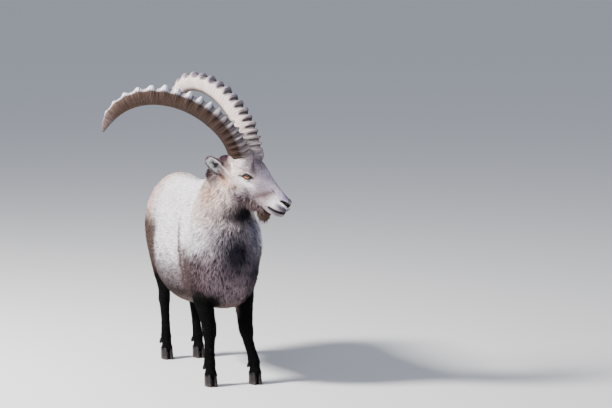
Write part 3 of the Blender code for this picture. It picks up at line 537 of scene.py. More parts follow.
def body_colour(p, normals, wide, fine):
    """The colour of trunk, neck and legs: layers whose edges follow height, length and width, made uneven."""
    x, y, z = p.T
    aside = np.abs(x)
    folded = np.stack([aside, y, z], -1)
    uneven = z + 0.012 * fine
    back = ramp(0.3, 0.8, normals[:, 2]) * bell(x, 0.025)
    neck = ramp(-0.20, -0.32, y) * ramp(0.60, 0.70, z)
    crease_height, crease_y = (0.336, 0.429, 0.498, 0.585, 0.671), (-0.128, -0.146, -0.130, -0.105, -0.081)
    behind = y - np.interp(z, crease_height, crease_y)
    low = ramp(0.585, 0.48, uneven)
    # Painted shade: a dark band along the crease behind the shoulder, wider lower down
    crease = bell(behind, 0.008 + 0.010 * low) * ramp(0.70, 0.58, z) * ramp(0.05, 0.10, aside)
    front = ramp(-0.31, -0.46, y + 0.25 * aside + 0.012 * fine)
    brisket = ramp(0.36, 0.31, z) * ramp(-0.16, -0.24, y) * ramp(0.09, 0.06, aside)
    under = ramp(-0.55, -0.9, normals[:, 2]) * ramp(-0.20, -0.05, y)
    between_legs = ramp(0.056, 0.034, aside) * ramp(-0.15, -0.20, y) * ramp(0.255, 0.285, z)
    legs = np.maximum(leg_share(p + 0.012 * np.stack([wide, fine, fine], -1)),
                      ramp(0.41, 0.35, z + 0.010 * fine) * ramp(0.040, 0.070, aside) * ramp(-0.22, -0.30, y))
    legs = legs * (1 - 0.9 * between_legs)
    colour = layered(
        linear(226, 223, 227),
        # Flank, belly, haunch, rump, line of the back, buttocks and tail
        ((112, 100, 104), ramp(0.53, 0.40, uneven) * 0.85),
        ((72, 58, 55), ramp(0.41, 0.335, z + 0.010 * fine) * 0.95),
        ((196, 170, 162), ramp(0.20, 0.38, y) * 0.75),
        ((80, 60, 51), ramp(0.13, 0.24, y + 0.020 * wide) * ramp(0.67, 0.57, z + 0.01 * fine) * 0.9),
        ((150, 136, 134), back * 0.3),
        *spots(p, ((206, 184, 172), 0.7, (0.0, 0.56, 0.60), (0.07, 0.05, 0.10))),
        ((84, 62, 52), tail_place(p) * 0.9),
        # Cream of the neck, ginger behind the cheek, brown lower shoulder, and painted shade in a dark band along
        # the crease behind it
        ((232, 216, 208), neck * 0.8),
        *spots(folded, ((212, 172, 148), 0.6, (0.095, -0.395, 0.785), (0.05, 0.05, 0.045))),
        ((92, 74, 76), ramp(0.004, -0.035, behind) * low * 0.92),
        ((96, 76, 76), crease * 0.9),
        # Chest with its dark middle and, as painted shade, dark bluish spots on its left side and the neck's left
        # edge, throat with painted shadow under the jaw in a dark and a near black spot, brisket, under the
        # belly, legs
        ((162, 152, 157), front * ramp(0.78, 0.62, z + 0.015 * fine) * 0.85),
        ((136, 122, 128), ramp(-0.28, -0.38, y + 0.25 * aside) * ramp(0.56, 0.48, z) * 0.9),
        *spots(
            p,
            ((66, 61, 72), 1.2, (-0.004, -0.500, 0.548), (0.070, 0.09, 0.080)),
            # Painted shade: dark bluish spots on the left side of the chest and neck only
            ((64, 58, 72), 0.9, (0.085, -0.45, 0.46), (0.05, 0.08, 0.07)),
            ((92, 94, 116), 0.7, (0.085, -0.43, 0.60), (0.04, 0.08, 0.09)),
            ((100, 106, 132), 0.8, (0.092, -0.420, 0.655), (0.040, 0.09, 0.050)),
            # Painted shadow under the jaw: a dark and a near black spot on the throat
            ((98, 88, 94), 0.85, (0.022, -0.465, 0.705), (0.085, 0.10, 0.050)),
            ((40, 37, 41), 1.4, (0.044, -0.455, 0.701), (0.058, 0.09, 0.032)),
        ),
        ((140, 122, 118), brisket),
        ((150, 138, 132), under * 0.6),
        (INK, legs),
    )
    fleck = 0.75 * mottle(p * [1.0, 1.0, 0.55], 0.018, 3) + 0.6 * mottle(p * [1.0, 1.0, 0.6], 0.0105, 5)
    speckled = 0.14 + 0.42 * ramp(0.68, 0.44, z) + 0.30 * ramp(-0.24, -0.40, y)
    colour = colour * (1 - np.clip(speckled * (1 - legs), 0, 0.7) * ramp(0.15, 0.90, fleck))[:, None]
    return layered(colour, *spots(p, (UMBER, 1.3, (-0.085, -0.375, 0.875), (0.060, 0.075, 0.050)),
                                  (UMBER, 1.3, (-0.02, -0.34, 0.885), (0.070, 0.060, 0.040))))


def face_colour(p, spot, normals, fine):
    """The colour of the head: spots and strokes placed along the face, to the side of it and square to it."""
    along, up = spot[:, 0], spot[:, 2]
    side = np.abs(spot[:, 1])
    folded = np.stack([along, side, up], -1)
    level = np.stack([along, np.zeros(len(p)), up], -1)
    beside = side > 0.03
    bridge = ramp(0.1, 0.7, normals @ FACE_UP) * ramp(0.08, 0.13, along) * ramp(0.27, 0.23, along)
    chevron = np.maximum(stroke(level, (0.141, 0, -0.109), (0.169, 0, -0.076), 0.0105),
                         stroke(level, (0.169, 0, -0.076), (0.192, 0, -0.049), 0.0105))
    chevron_hair = 0.60 + 0.35 * np.sin((up + 0.35 * along) * 2 * np.pi / 0.009 + 1.5 * fine)
    face = layered(
        linear(198, 188, 188),
        # Side of the nose, two on the cheek, forehead, pale brow, and grey beside the horn's foot
        *spots(
            folded,
            ((150, 138, 150), 0.85, (0.158, 0.034, -0.052), (0.050, 0.040, 0.030)),
            ((160, 149, 160), 0.80, (0.118, 0.044, -0.086), (0.034, 0.030, 0.022)),
            ((152, 140, 148), 0.70, (0.140, 0.034, -0.122), (0.060, 0.040, 0.028)),
            ((150, 138, 152), 0.75, (0.070, 0.000, 0.000), (0.050, 0.036, 0.035)),
            ((236, 226, 226), 0.85, (0.040, 0.068, -0.016), (0.026, 0.030, 0.024)),
            ((170, 156, 158), 0.60, (0.006, 0.078, -0.026), (0.016, 0.030, 0.018)),
        ),
        # The mauve bridge, lightened on its upward faces: painted light laid over its own colour
        ((196, 186, 199), bridge * 0.9),
        ((96, 82, 98), stroke(folded, (0.048, 0.026, 0.008), (0.094, 0.045, -0.024), 0.0085) * 0.8),
        ((112, 98, 114), stroke(folded, (0.060, 0.006, 0.006), (0.104, 0.016, -0.004), 0.009) * 0.25),
        ((88, 70, 80), ramp(-0.004, -0.040, along) * ramp(-0.105, -0.060, up)),
        # Pale round the eye and below it, ginger cheek, brown behind the eye and under the ear, jaw, painted
        # bluish shade below the eye's front corner, whitish muzzle, mauve nose and grey lips
        *spots(
            folded,
            ((226, 216, 210), 0.85, (0.052, 0.058, -0.060), (0.036, 0.05, 0.034)),
            ((234, 230, 232), 0.85, (0.098, 0.050, -0.076), (0.026, 0.03, 0.014)),
            ((214, 174, 148), 0.85, (-0.004, 0.060, -0.132), (0.042, 0.05, 0.028)),
            ((128, 104, 96), 0.70, (-0.012, 0.060, -0.064), (0.024, 0.04, 0.026)),
            ((96, 70, 62), 0.85, (-0.024, 0.060, -0.120), (0.026, 0.03, 0.012)),
            ((112, 84, 66), 0.85, (0.061, 0.062, -0.120), (0.010, 0.03, 0.010)),
            ((122, 106, 114), 0.95, (0.090, 0.058, -0.153), (0.034, 0.05, 0.022)),
            # Painted shade: a bluish spot below each eye's front corner
            ((120, 128, 148), 0.60, (0.090, 0.056, -0.066), (0.010, 0.03, 0.006)),
            ((124, 106, 110), 0.60, (0.174, 0.036, -0.084), (0.024, 0.03, 0.016)),
            ((236, 232, 236), 0.95, (0.222, 0.032, -0.082), (0.023, 0.03, 0.022)),
            ((122, 120, 152), 0.90, (0.252, 0.000, -0.042), (0.024, 0.020, 0.012)),
            ((84, 78, 96), 0.95, (0.255, 0.024, -0.083), (0.026, 0.024, 0.013)),
            ((84, 78, 96), 0.95, (0.272, 0.014, -0.077), (0.013, 0.022, 0.013)),
            ((122, 116, 130), 0.90, (0.240, 0.018, -0.119), (0.036, 0.03, 0.011)),
        ),
        # Pale stripes over the cheek and behind the eye, the jaw's dark edge, and the dark chevron of the cheek
        ((232, 222, 214), stroke(level, (-0.050, 0, -0.079), (0.010, 0, -0.088), 0.0052) * beside * 0.95),
        ((232, 222, 214), stroke(level, (0.004, 0, -0.032), (0.024, 0, -0.078), 0.0052) * beside * 0.95),
        ((80, 66, 68), stroke(level, (0.080, 0, -0.186), (0.200, 0, -0.162), 0.017) * 0.95),
        ((96, 74, 72), chevron * (side > 0.02) * chevron_hair),
    )
    dotted = ramp(-0.085, -0.150, up) * ramp(0.215, 0.185, along) * ramp(0.02, 0.05, along)
    face = face * (1 - 0.60 * dotted * ramp(-0.1, 0.7, mottle(p, 0.011, 4)))[:, None]

    # Pale below the nostril, dark chin, grey lips, painted shadow in the black line between the lips, painted
    # shade in the nostrils, and the eye's dark corners
    from_nostril = nostril_distance(spot)
    gap, share = mouth_distance(spot)
    tear = np.maximum(stroke(level, (0.084, 0, -0.050), (0.102, 0, -0.044), 0.0048),
                      stroke(level, (0.050, 0, -0.0645), (0.054, 0, -0.0625), 0.0032))
    face = layered(
        face,
        ((236, 232, 236), bell(from_nostril - 0.0112, 0.0024) * ramp(-0.058, -0.066, up) * 0.9),
        *spots(folded, ((44, 32, 28), 1.0, (0.182, 0.0, -0.160), (0.040, 0.024, 0.018))),
        ((112, 104, 114), bell(gap - 0.002, 0.0085) * ramp(0.0, 0.15, share) * 0.75),
        # Painted shadow: black along the line between the lips
        ((14, 11, 12), np.exp(-((gap / (0.0048 + 0.0030 * share)) ** 4)) * 0.98),
        # Painted shade: near black in the nostrils
        ((10, 8, 9), ramp(0.0094, 0.0074, from_nostril)),
        ((22, 16, 17), tear * beside * 0.95),
    )
    hairs = mottle(spot * [0.35, 1.0, 1.0], 0.0075, 6) * ramp(0.25, 0.19, along)
    return face * (1 + 0.13 * hairs)[:, None]


def coat_colour(points, normals):
    """Body and face blended at the neck. Tones under a middle one are deepened by a power, and none is brighter
    than a limit."""
    p = points - OFFSET
    wide, fine = mottle(p, 0.16, 1), mottle(p, 0.035, 2)
    head = head_share(p)[:, None]
    spot = face_place(points)
    colour = body_colour(p, normals, wide, fine) * (1 - head) + face_colour(p, spot, normals, fine) * head
    deepened = MIDDLE_TONE * (np.clip(colour, 0, 1) / MIDDLE_TONE) ** DEEPENING
    return np.clip(deepened * (1 + 0.05 * wide + 0.05 * fine)[:, None], 0, BRIGHTEST)


def painted(name, roughness, grain, depth, scale, shine=0.25, coat=0.0):
    """A material that takes its colour from the attribute coat, with a fine grain in colour and height."""
    material = bpy.data.materials.new(name)
    material.use_nodes = True
    nodes, links = material.node_tree.nodes, material.node_tree.links
    shader = nodes["Principled BSDF"]
    colour = nodes.new("ShaderNodeAttribute")
    colour.attribute_name = "coat"
    place = nodes.new("ShaderNodeTexCoord")
    noise = nodes.new("ShaderNodeTexNoise")
    spread = nodes.new("ShaderNodeMapRange")
    blend = nodes.new("ShaderNodeVectorMath")
    blend.operation = "SCALE"
    bump = nodes.new("ShaderNodeBump")
    for node, values in (
        (noise, {"Scale": scale, "Detail": 5.0, "Roughness": 0.6}),
        (spread, {"From Min": 0.25, "From Max": 0.75, "To Min": 1.0 - grain, "To Max": 1.0 + grain}),
        (bump, {"Strength": 0.6, "Distance": depth}),
        (shader, {"Roughness": roughness, "Specular IOR Level": shine, "Coat Weight": coat}),
    ):
        for socket, value in values.items():
            node.inputs[socket].default_value = value
    links.new(place.outputs["Object"], noise.inputs["Vector"])
    links.new(noise.outputs["Fac"], spread.inputs["Value"])
    links.new(colour.outputs["Color"], blend.inputs[0])
    links.new(spread.outputs["Result"], blend.inputs["Scale"])
    links.new(blend.outputs["Vector"], shader.inputs["Base Color"])
    links.new(noise.outputs["Fac"], bump.inputs["Height"])
    links.new(bump.outputs["Normal"], shader.inputs["Normal"])
    return material


hide = painted("hide", 0.85, 0.16, 0.0012, 420.0)
skin = make_object("skin", skin_points, skin_faces, hide, coat_colour(skin_points, normals))
bpy.context.view_layer.objects.active = skin
skin.select_set(True)
bpy.ops.object.mode_set(mode="EDIT")
bpy.ops.mesh.select_all(action="SELECT")
bpy.ops.uv.smart_project(angle_limit=math.radians(66), island_margin=0.002)
bpy.ops.object.mode_set(mode="OBJECT")
skin.data.uv_layers[0].name = "OFBake"
skin_uv = np.empty(len(skin_faces) * 6, np.float32)
skin.data.uv_layers[0].data.foreach_get("uv", skin_uv)
skin_uv = skin_uv.reshape(-1, 3, 2)
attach(skin, "root")
flesh_nodes = ["head", "neck", "torso", "tail"]
flesh_nodes += [f"{leg}_{side}_{part}" for leg in ("foreleg", "hindleg")
                for side in ("left", "right") for part in ("upper", "lower")]
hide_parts(*flesh_nodes)


# Coat: short tufts over the whole skin, each a closed, flat, three-sided blade that leaves the skin at a low
# angle and lies along the coat. They are longest on the chest, neck and back and finest on the face and feet.
TUFTS_A_PIECE = 19500
TUFT_FILL = 0.6
COAT_DEEP = 3.0
# Tones along a tuft from root to tip: the darker root is painted shade among the hairs, the paler tip its own
# colour
ROOT_SHADE_AND_TIP_TONES = np.array([0.80, 0.80, 0.84, 0.98, 0.98, 1.02, 1.14])


def lie_of(points, normals):
    """The way that the coat lies: back and down the body, down the legs, and from the nose to the nape."""
    p = points - OFFSET
    y, z = p[:, 1], p[:, 2]
    spot = face_place(points)
    outwards, down = 0.25 * np.sign(spot[:, 1]), -0.35 * ramp(0.0, -0.14, spot[:, 2])
    face = np.stack([-np.ones(len(p)), outwards, down], -1) @ FACE
    flow = np.tile([0.0, 1.0, -0.42], (len(p), 1))
    flow[:, 2] -= 0.8 * ramp(0.40, 0.55, y)
    for share, way in (
        (ramp(-0.24, -0.42, y), (0.0, 0.25, -1.0)),
        (ramp(-0.16, -0.28, y) * ramp(0.58, 0.68, z), (-0.10, 0.55, -0.85)),
        (leg_share(p), (0.0, 0.15, -1.0)),
        (head_share(p), face),
        (tail_place(p), (0.0, 0.45, -1.0)),
    ):
        flow = flow * (1 - share[:, None]) + np.asarray(way) * share[:, None]
    flow += 0.14 * np.stack([mottle(p, 0.07, seed) for seed in (11, 12, 13)], -1)
    return unit(flow - normals * (flow * normals).sum(-1, keepdims=True))


def tuft_sizes(points):
    """Length, width and lift of a tuft by its place, in metres and as a share of its length."""
    p = points - OFFSET
    muzzle = ramp(0.10, 0.20, face_place(points)[:, 0])
    head, legs, hang = head_share(p), leg_share(p), tail_place(p)
    foot = ramp(0.16, 0.08, p[:, 2])
    chest = ramp(-0.22, -0.38, p[:, 1]) * (1 - head)
    brisket = ramp(0.37, 0.32, p[:, 2]) * ramp(-0.16, -0.24, p[:, 1]) * ramp(0.09, 0.05, np.abs(p[:, 0]))
    length = 0.020 + 0.005 * chest + 0.012 * brisket
    length = (length * (1 - legs) + 0.0125 * legs) * (1 - 0.25 * foot)
    length = length * (1 - head) + (0.0100 - 0.0050 * muzzle) * head
    length = length * (1 - hang) + 0.036 * hang
    width = 0.0044 * (1 - legs) + 0.0029 * legs
    width = width * (1 - head) + (0.0023 - 0.0007 * muzzle) * head
    lift = 0.16 + 0.04 * chest - 0.05 * head + 0.06 * hang + 0.20 * brisket
    return length, width, lift


def scattered(points, faces, normals, uv, cover, seed, sizes=tuft_sizes):
    """Drawn places on a surface: points, normals, unwrap places and triangles. Cover is how many tufts deep
    they lie, so a triangle gets its area times cover, divided by what a tuft fills of its length times width."""
    draw = np.random.default_rng(seed)
    corner = points[faces]
    area = np.linalg.norm(np.cross(corner[:, 1] - corner[:, 0], corner[:, 2] - corner[:, 0]), axis=-1) / 2
    middle = corner.mean(1)
    length, width, _ = sizes(middle)
    filled = np.cumsum(area * cover(middle) / (TUFT_FILL * length * width))
    total = int(filled[-1])
    wanted = (np.arange(total) + draw.random(total)) * filled[-1] / total
    chosen = np.minimum(np.searchsorted(filled, wanted), len(faces) - 1)
    a, b = draw.random((2, total))
    fold = a + b > 1
    a, b = np.where(fold, 1 - a, a), np.where(fold, 1 - b, b)
    share = np.stack([1 - a - b, a, b], -1)[..., None]
    normal = unit((normals[faces[chosen]] * share).sum(1))
    return (corner[chosen] * share).sum(1), normal, (uv[chosen] * share).sum(1), chosen


def tufts(root, normal, lie, length, width, lift, place, seed):
    """Blades as points, triangles and unwrap places. Each has a three-sided ring at its root and one half way,
    and ends in a point. It leaves along its lie and rises by its lift, more towards the tip."""
    draw = np.random.default_rng(seed)
    count = len(root)
    turn = draw.normal(0, 0.16, count)[:, None]
    across = np.cross(lie, normal)
    lie, across = lie * np.cos(turn) + across * np.sin(turn), across * np.cos(turn) - lie * np.sin(turn)
    length = (length * draw.uniform(0.72, 1.25, count))[:, None]
    width = (width * draw.uniform(0.75, 1.25, count))[:, None]
    lift = (lift * draw.uniform(0.5, 1.5, count))[:, None]
    bend = draw.normal(0, 0.10, count)[:, None]
    rings = []
    for along, size, rise in ((0.0, 0.85, -0.05), (0.5, 1.0, 0.38)):
        spine = (root + lie * (length * along) + normal * (length * lift * rise)
                 + across * (length * bend * along**2))
        half = width * size / 2
        rings += [spine - across * half, spine + across * half, spine + normal * (half * 0.55)]
    tip = root + lie * length + normal * (length * lift) + across * (length * bend)
    points = np.stack([*rings, tip], 1).reshape(-1, 3)
    blade = np.array([
        [0, 1, 2], [0, 3, 4], [0, 4, 1], [1, 4, 5], [1, 5, 2],
        [2, 5, 3], [2, 3, 0], [3, 6, 4], [4, 6, 5], [5, 6, 3],
    ])
    if np.linalg.det(points[:7][blade] - points[:7].mean(0)).sum() < 0:
        blade = blade[:, ::-1]
    faces = (blade[None] + 7 * np.arange(count)[:, None, None]).reshape(-1, 3)
    patch = np.array([[-0.5, 0], [0.5, 0], [0, 0.1], [-0.5, 0.5], [0.5, 0.5], [0, 0.5], [0, 1]]) * 0.003
    flat = np.clip(place[:, None] + patch[None] - [0, 0.0015], 0, 1).reshape(-1, 2)
    return points, faces, flat[faces]


def tuft_colours(root, normal, seed):
    """Each tuft takes the marking at its root, a little lighter or darker than the next, darkened at its root as
    painted shade among the hairs, and paler to its tip.
    """
    draw = np.random.default_rng(seed)
    p = root - OFFSET
    chest = ramp(-0.20, -0.36, p[:, 1]) * ramp(0.33, 0.40, p[:, 2])
    tone = 1 + draw.normal(0, 1, len(root)) * (0.11 + 0.10 * chest)
    warm = 1 + draw.normal(0, 0.02, (len(root), 3))
    base = coat_colour(root, normal) * np.clip(tone, 0.5, 1.6)[:, None] * warm
    return np.clip(base[:, None] * ROOT_SHADE_AND_TIP_TONES[None, :, None], 0, 1).reshape(-1, 3)


def coat_depth(points):
    """How many tufts deep the coat lies: none inside the eyelids, the nostrils and the mouth."""
    p = points - OFFSET
    spot = face_place(points)
    deep = COAT_DEEP - 0.7 * np.maximum(head_share(p), leg_share(p))
    for side in (1, -1):
        ahead, reach = about_eye(spot, side)
        deep = np.where((ahead > 0) & (reach < 1.55), 0, deep)
    gap, _ = mouth_distance(spot)
    over = nostril_distance(spot - [0.0045, 0, 0])
    deep = np.where((nostril_distance(spot) < 0.0086) | (over < 0.0078) | (gap < 0.0036), 0, deep)
    return deep * 1.0


fur = painted("fur", 0.85, 0.10, 0.0004, 600.0, shine=0.12)
root, root_normal, root_place, _ = scattered(skin_points, skin_faces, normals, skin_uv, coat_depth, 21)
coat_lie = lie_of(root, root_normal)
tuft_length, tuft_width, tuft_lift = tuft_sizes(root)
p = root - OFFSET
zone = np.where(leg_share(p) > 0.5, 2, 0)
zone = np.where((p[:, 1] < -0.20) & (p[:, 2] > 0.40), 1, zone)
zone = np.where(head_share(p) > 0.5, 3, zone)
for number, name in enumerate(("trunk", "neck", "legs", "head")):
    members = np.flatnonzero(zone == number)
    members = members[np.argsort(root[members, 1])]
    groups = np.array_split(members, max(1, -(-len(members) // TUFTS_A_PIECE)))
    for part, chosen in enumerate(groups):
        blades = tufts(root[chosen], root_normal[chosen], coat_lie[chosen], tuft_length[chosen],
                       tuft_width[chosen], tuft_lift[chosen], root_place[chosen], 100 + 10 * number + part)
        shades = tuft_colours(root[chosen], root_normal[chosen], 200 + 10 * number + part)
        coat = make_object(f"coat_{name}_{part + 1}", blades[0], blades[1], fur, shades, blades[2])
        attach(coat, "root")


# Horns: two tapering, three-sided ovals that climb, sweep back and splay, with a transverse knob at each ring
# across the front. Horn is dull and finely grained along its length, pale on the worn knobs, with painted shadow
# below them.
HORN_DEEP, HORN_BROAD, HORN_KEEL = 0.052, 0.040, 0.009
horn_finish = painted("horn", 0.78, 0.22, 0.0010, 240.0, shine=0.10)
# Per horn: front and crest tones, the far horn's darker as painted shade, how far round the painted shadow below
# the knobs reaches, and brown at the foot of the front
for name, side, horn_length, front_shade, crest_shade, wrapped, smudge in (
    ("left", 1, 0.705, (132, 122, 134), (144, 134, 146), (-0.30, 0.30), 0.0),
    ("right", -1, 0.73, (196, 188, 196), (226, 224, 238), (-0.95, -0.35), 0.75),
):
    # Knobs are 21 mm apart at the foot, up to 52 mm apart higher up, and closer again towards the tip
    knobs = [-0.020]
    while knobs[-1] < horn_length * 0.91:
        past = max(0.0, knobs[-1] / horn_length)
        opened = math.sin(math.pi / 2 * min(1.0, past / 0.65)) ** 1.2
        knobs.append(knobs[-1] + (0.021 + 0.031 * opened) * (1 - 1.2 * max(0.0, past - 0.72)))
    knobs = np.array(knobs[:-1])

    # The spine's climb and splay, in degrees, are polynomials of the share of its length
    rows, count = ((680, 64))
    at = np.linspace(-0.040, horn_length, rows)
    share = np.clip(at / horn_length, 0, 1)
    climb = np.radians(85 - 205 * share + 250 * share**2 - 221 * share**3)
    splay = np.radians(10 + 23 * share - 9 * share**2)
    way = np.column_stack([np.cos(splay) * np.cos(climb), np.sin(splay), np.cos(splay) * np.sin(climb)])
    way = way @ np.array([-HEADING, HEAD_LEFT * side, HEAD_UP])
    step = (way[1:] + way[:-1]) / 2 * np.diff(at)[:, None]
    spine = np.vstack([np.zeros(3), np.cumsum(step, axis=0)])
    zero = np.array([np.interp(0.0, at, spine[:, i]) for i in range(3)])
    spine = spine - zero + HORN_ROOT + HEAD_LEFT * (side * 0.042)
    across = unit(HEAD_LEFT * side - way * (way @ (HEAD_LEFT * side))[:, None])
    front = np.cross(across, way) * side

    # Depth and breadth as shares of those at the foot, and how far each ring stands up as a knob
    size = eased((
        (0.00, 1.00, 1.00), (0.15, 0.90, 0.88), (0.40, 0.78, 0.73), (0.65, 0.68, 0.60),
        (0.82, 0.55, 0.48), (0.92, 0.38, 0.35), (0.97, 0.24, 0.22), (1.00, 0.06, 0.07),
    ), 400)
    deep = np.interp(share, size[:, 0], size[:, 1]) * HORN_DEEP
    broad = np.interp(share, size[:, 0], size[:, 2]) * HORN_BROAD
    spacing = np.diff(np.append(knobs, knobs[-1] + 0.04))
    number = np.arange(len(knobs))
    knob_half = (0.235 + 0.03 * np.sin(number * 5.1 + side)) * spacing
    from_knob = (at[:, None] - knobs - 0.02 * spacing) / knob_half
    lift = (np.exp(-np.abs(from_knob) ** 2.6) * (1 + 0.14 * np.sin(number * 3.7 + 2 * side))).max(1)
    fade = np.interp(share, (0.0, 0.06, 0.6, 0.95), (0.7, 1.0, 0.95, 0.2))
    keel = HORN_KEEL * np.interp(share, (0.0, 0.25, 0.92, 1.0), (0.0, 1.0, 0.9, 0.1))

    # Outline: an oval with a keel behind, sunk between the knobs in front and aside, with fine growth lines
    c, s = np.cos(turns(count))[None], np.sin(turns(count))[None]
    waver = np.sin(at * 2 * np.pi / 0.0052 + 2.5 * np.sin(at * 47) + 1.5 * np.sin(at * 131))
    growth = 0.0007 * waver[:, None] * ramp(0.98, 0.8, share)[:, None]
    sunk = (0.016 * fade * (1 - lift))[:, None] * ramp(0.10, 0.98, c)
    dip_depth = np.interp(share, (0, 0.25, 0.6, 1), (0.0044, 0.0026, 0.0012, 0))[:, None]
    dip = (fade * (1 - lift))[:, None] * ramp(-0.75, 0.3, c) * ramp(0.95, 0.5, c) * dip_depth
    dip = dip * np.where(s < 0, 0.4, 1.0)
    keeled = deep[:, None] + keel[:, None] * np.maximum(0, -c)
    reach = keeled * np.sign(c) * np.abs(c) ** 0.85 - sunk + growth * c
    spread = (broad[:, None] - dip + growth) * s * (1 - 0.30 * np.maximum(0, -c))
    rings = spine[:, None] + front[:, None] * reach[..., None] + across[:, None] * spread[..., None]
    horn_points, horn_faces = tube(rings)

    # Colour: dark outer side and back, paler with height, a light band in front, near black painted shadow below
    # each knob, and worn crests. The near horn's front is pale and its crests bluish white, partly painted light,
    # and the far horn's front and crests are grey as painted shade.
    crest = np.clip(lift * fade, 0, 1)[:, None] * ramp(0.35, 0.85, c)
    outer, back = ramp(-0.1, 0.6, s), ramp(0.45, 0.95, -c)
    young = np.interp(share, (0.1, 0.9), (0.0, 1.0))[:, None]
    front_band = ramp(0.62 - 0.22 * young, 0.9 - 0.16 * young, c) * (0.35 + 0.55 * np.minimum(1, 2.2 * young))
    # Painted shadow: near black under the overhang of each knob
    knob_shadow = bell(at[:, None] - knobs + 0.29 * spacing, 0.15 * spacing).max(1)
    knob_shadow = knob_shadow * fade * np.interp(share, (0, 0.3, 0.6), (1.0, 0.9, 0.6))
    wrap = np.interp(share, (0.0, 0.22), wrapped)[:, None]
    worn = np.interp(share, (0.0, 0.30, 0.50), (0.10, 0.45, 0.95))[:, None]
    tone = layered(
        linear(208, 192, 186),
        ((50, 37, 31), outer),
        ((92, 74, 66), outer * young * 0.8),
        ((40, 31, 27), back * 0.9),
        ((88, 72, 60), back * young * 0.7),
        (front_shade, front_band),
        ((22, 17, 19), knob_shadow[:, None] * ramp(wrap, 0.55, c) * 0.95),
        ((104, 88, 84), ramp(0.30, 0.75, c) * ramp(0.42, 0.10, share)[:, None] * smudge),
        # Crests: paler where worn; the near horn's bluish white is partly painted highlight, the far horn's grey
        # partly painted shade
        (crest_shade, crest * worn),
        ((104, 90, 90), ramp(0.84, 0.97, share)[:, None] * 0.6),
    )
    places = np.stack(np.broadcast_arrays(at[:, None] * 1.3, c * 0.008, s * 0.008), -1).reshape(-1, 3)
    streak = mottle(places, 0.006, 31) + 0.7 * mottle(places, 0.02, 32)
    fibre = 1 + 0.55 * waver[:, None] * np.maximum(outer, 0.4) * ramp(0.8, 0.3, c)
    tone = (tone * fibre[..., None]).reshape(-1, 3) * (1 + 0.30 * streak)[:, None]
    tone = np.clip(capped(tone), 0, 1)
    horn = make_object(f"horn_{name}_shown", horn_points, horn_faces, horn_finish, tone)
    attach(horn, "root")
    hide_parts(f"horn_{name}")


# Ears: cupped leaves of skin and gristle, haired dark along the rim and pale inside. The outer and the inner
# face are one closed surface, and tufts stand along both.
EAR_LENGTH, EAR_FOOT, EAR_HALF = 0.108, 0.12, 0.027
RIM_SHADE = (60, 46, 46)
# Tones along an ear's tuft from root to tip: the darker root is painted shade among the hairs
EAR_ROOT_SHADE_AND_TIP_TONES = np.array([0.75, 0.75, 0.8, 1, 1, 1.05, 1.25])


def ear_sizes(points):
    """Length, width and lift of the ears' tufts, the same everywhere."""
    return np.full(len(points), 0.0125), np.full(len(points), 0.0019), np.full(len(points), 0.16)


def ear_depth(points):
    """How many tufts deep the ears' hair lies, the same everywhere."""
    return np.full(len(points), 2.6)


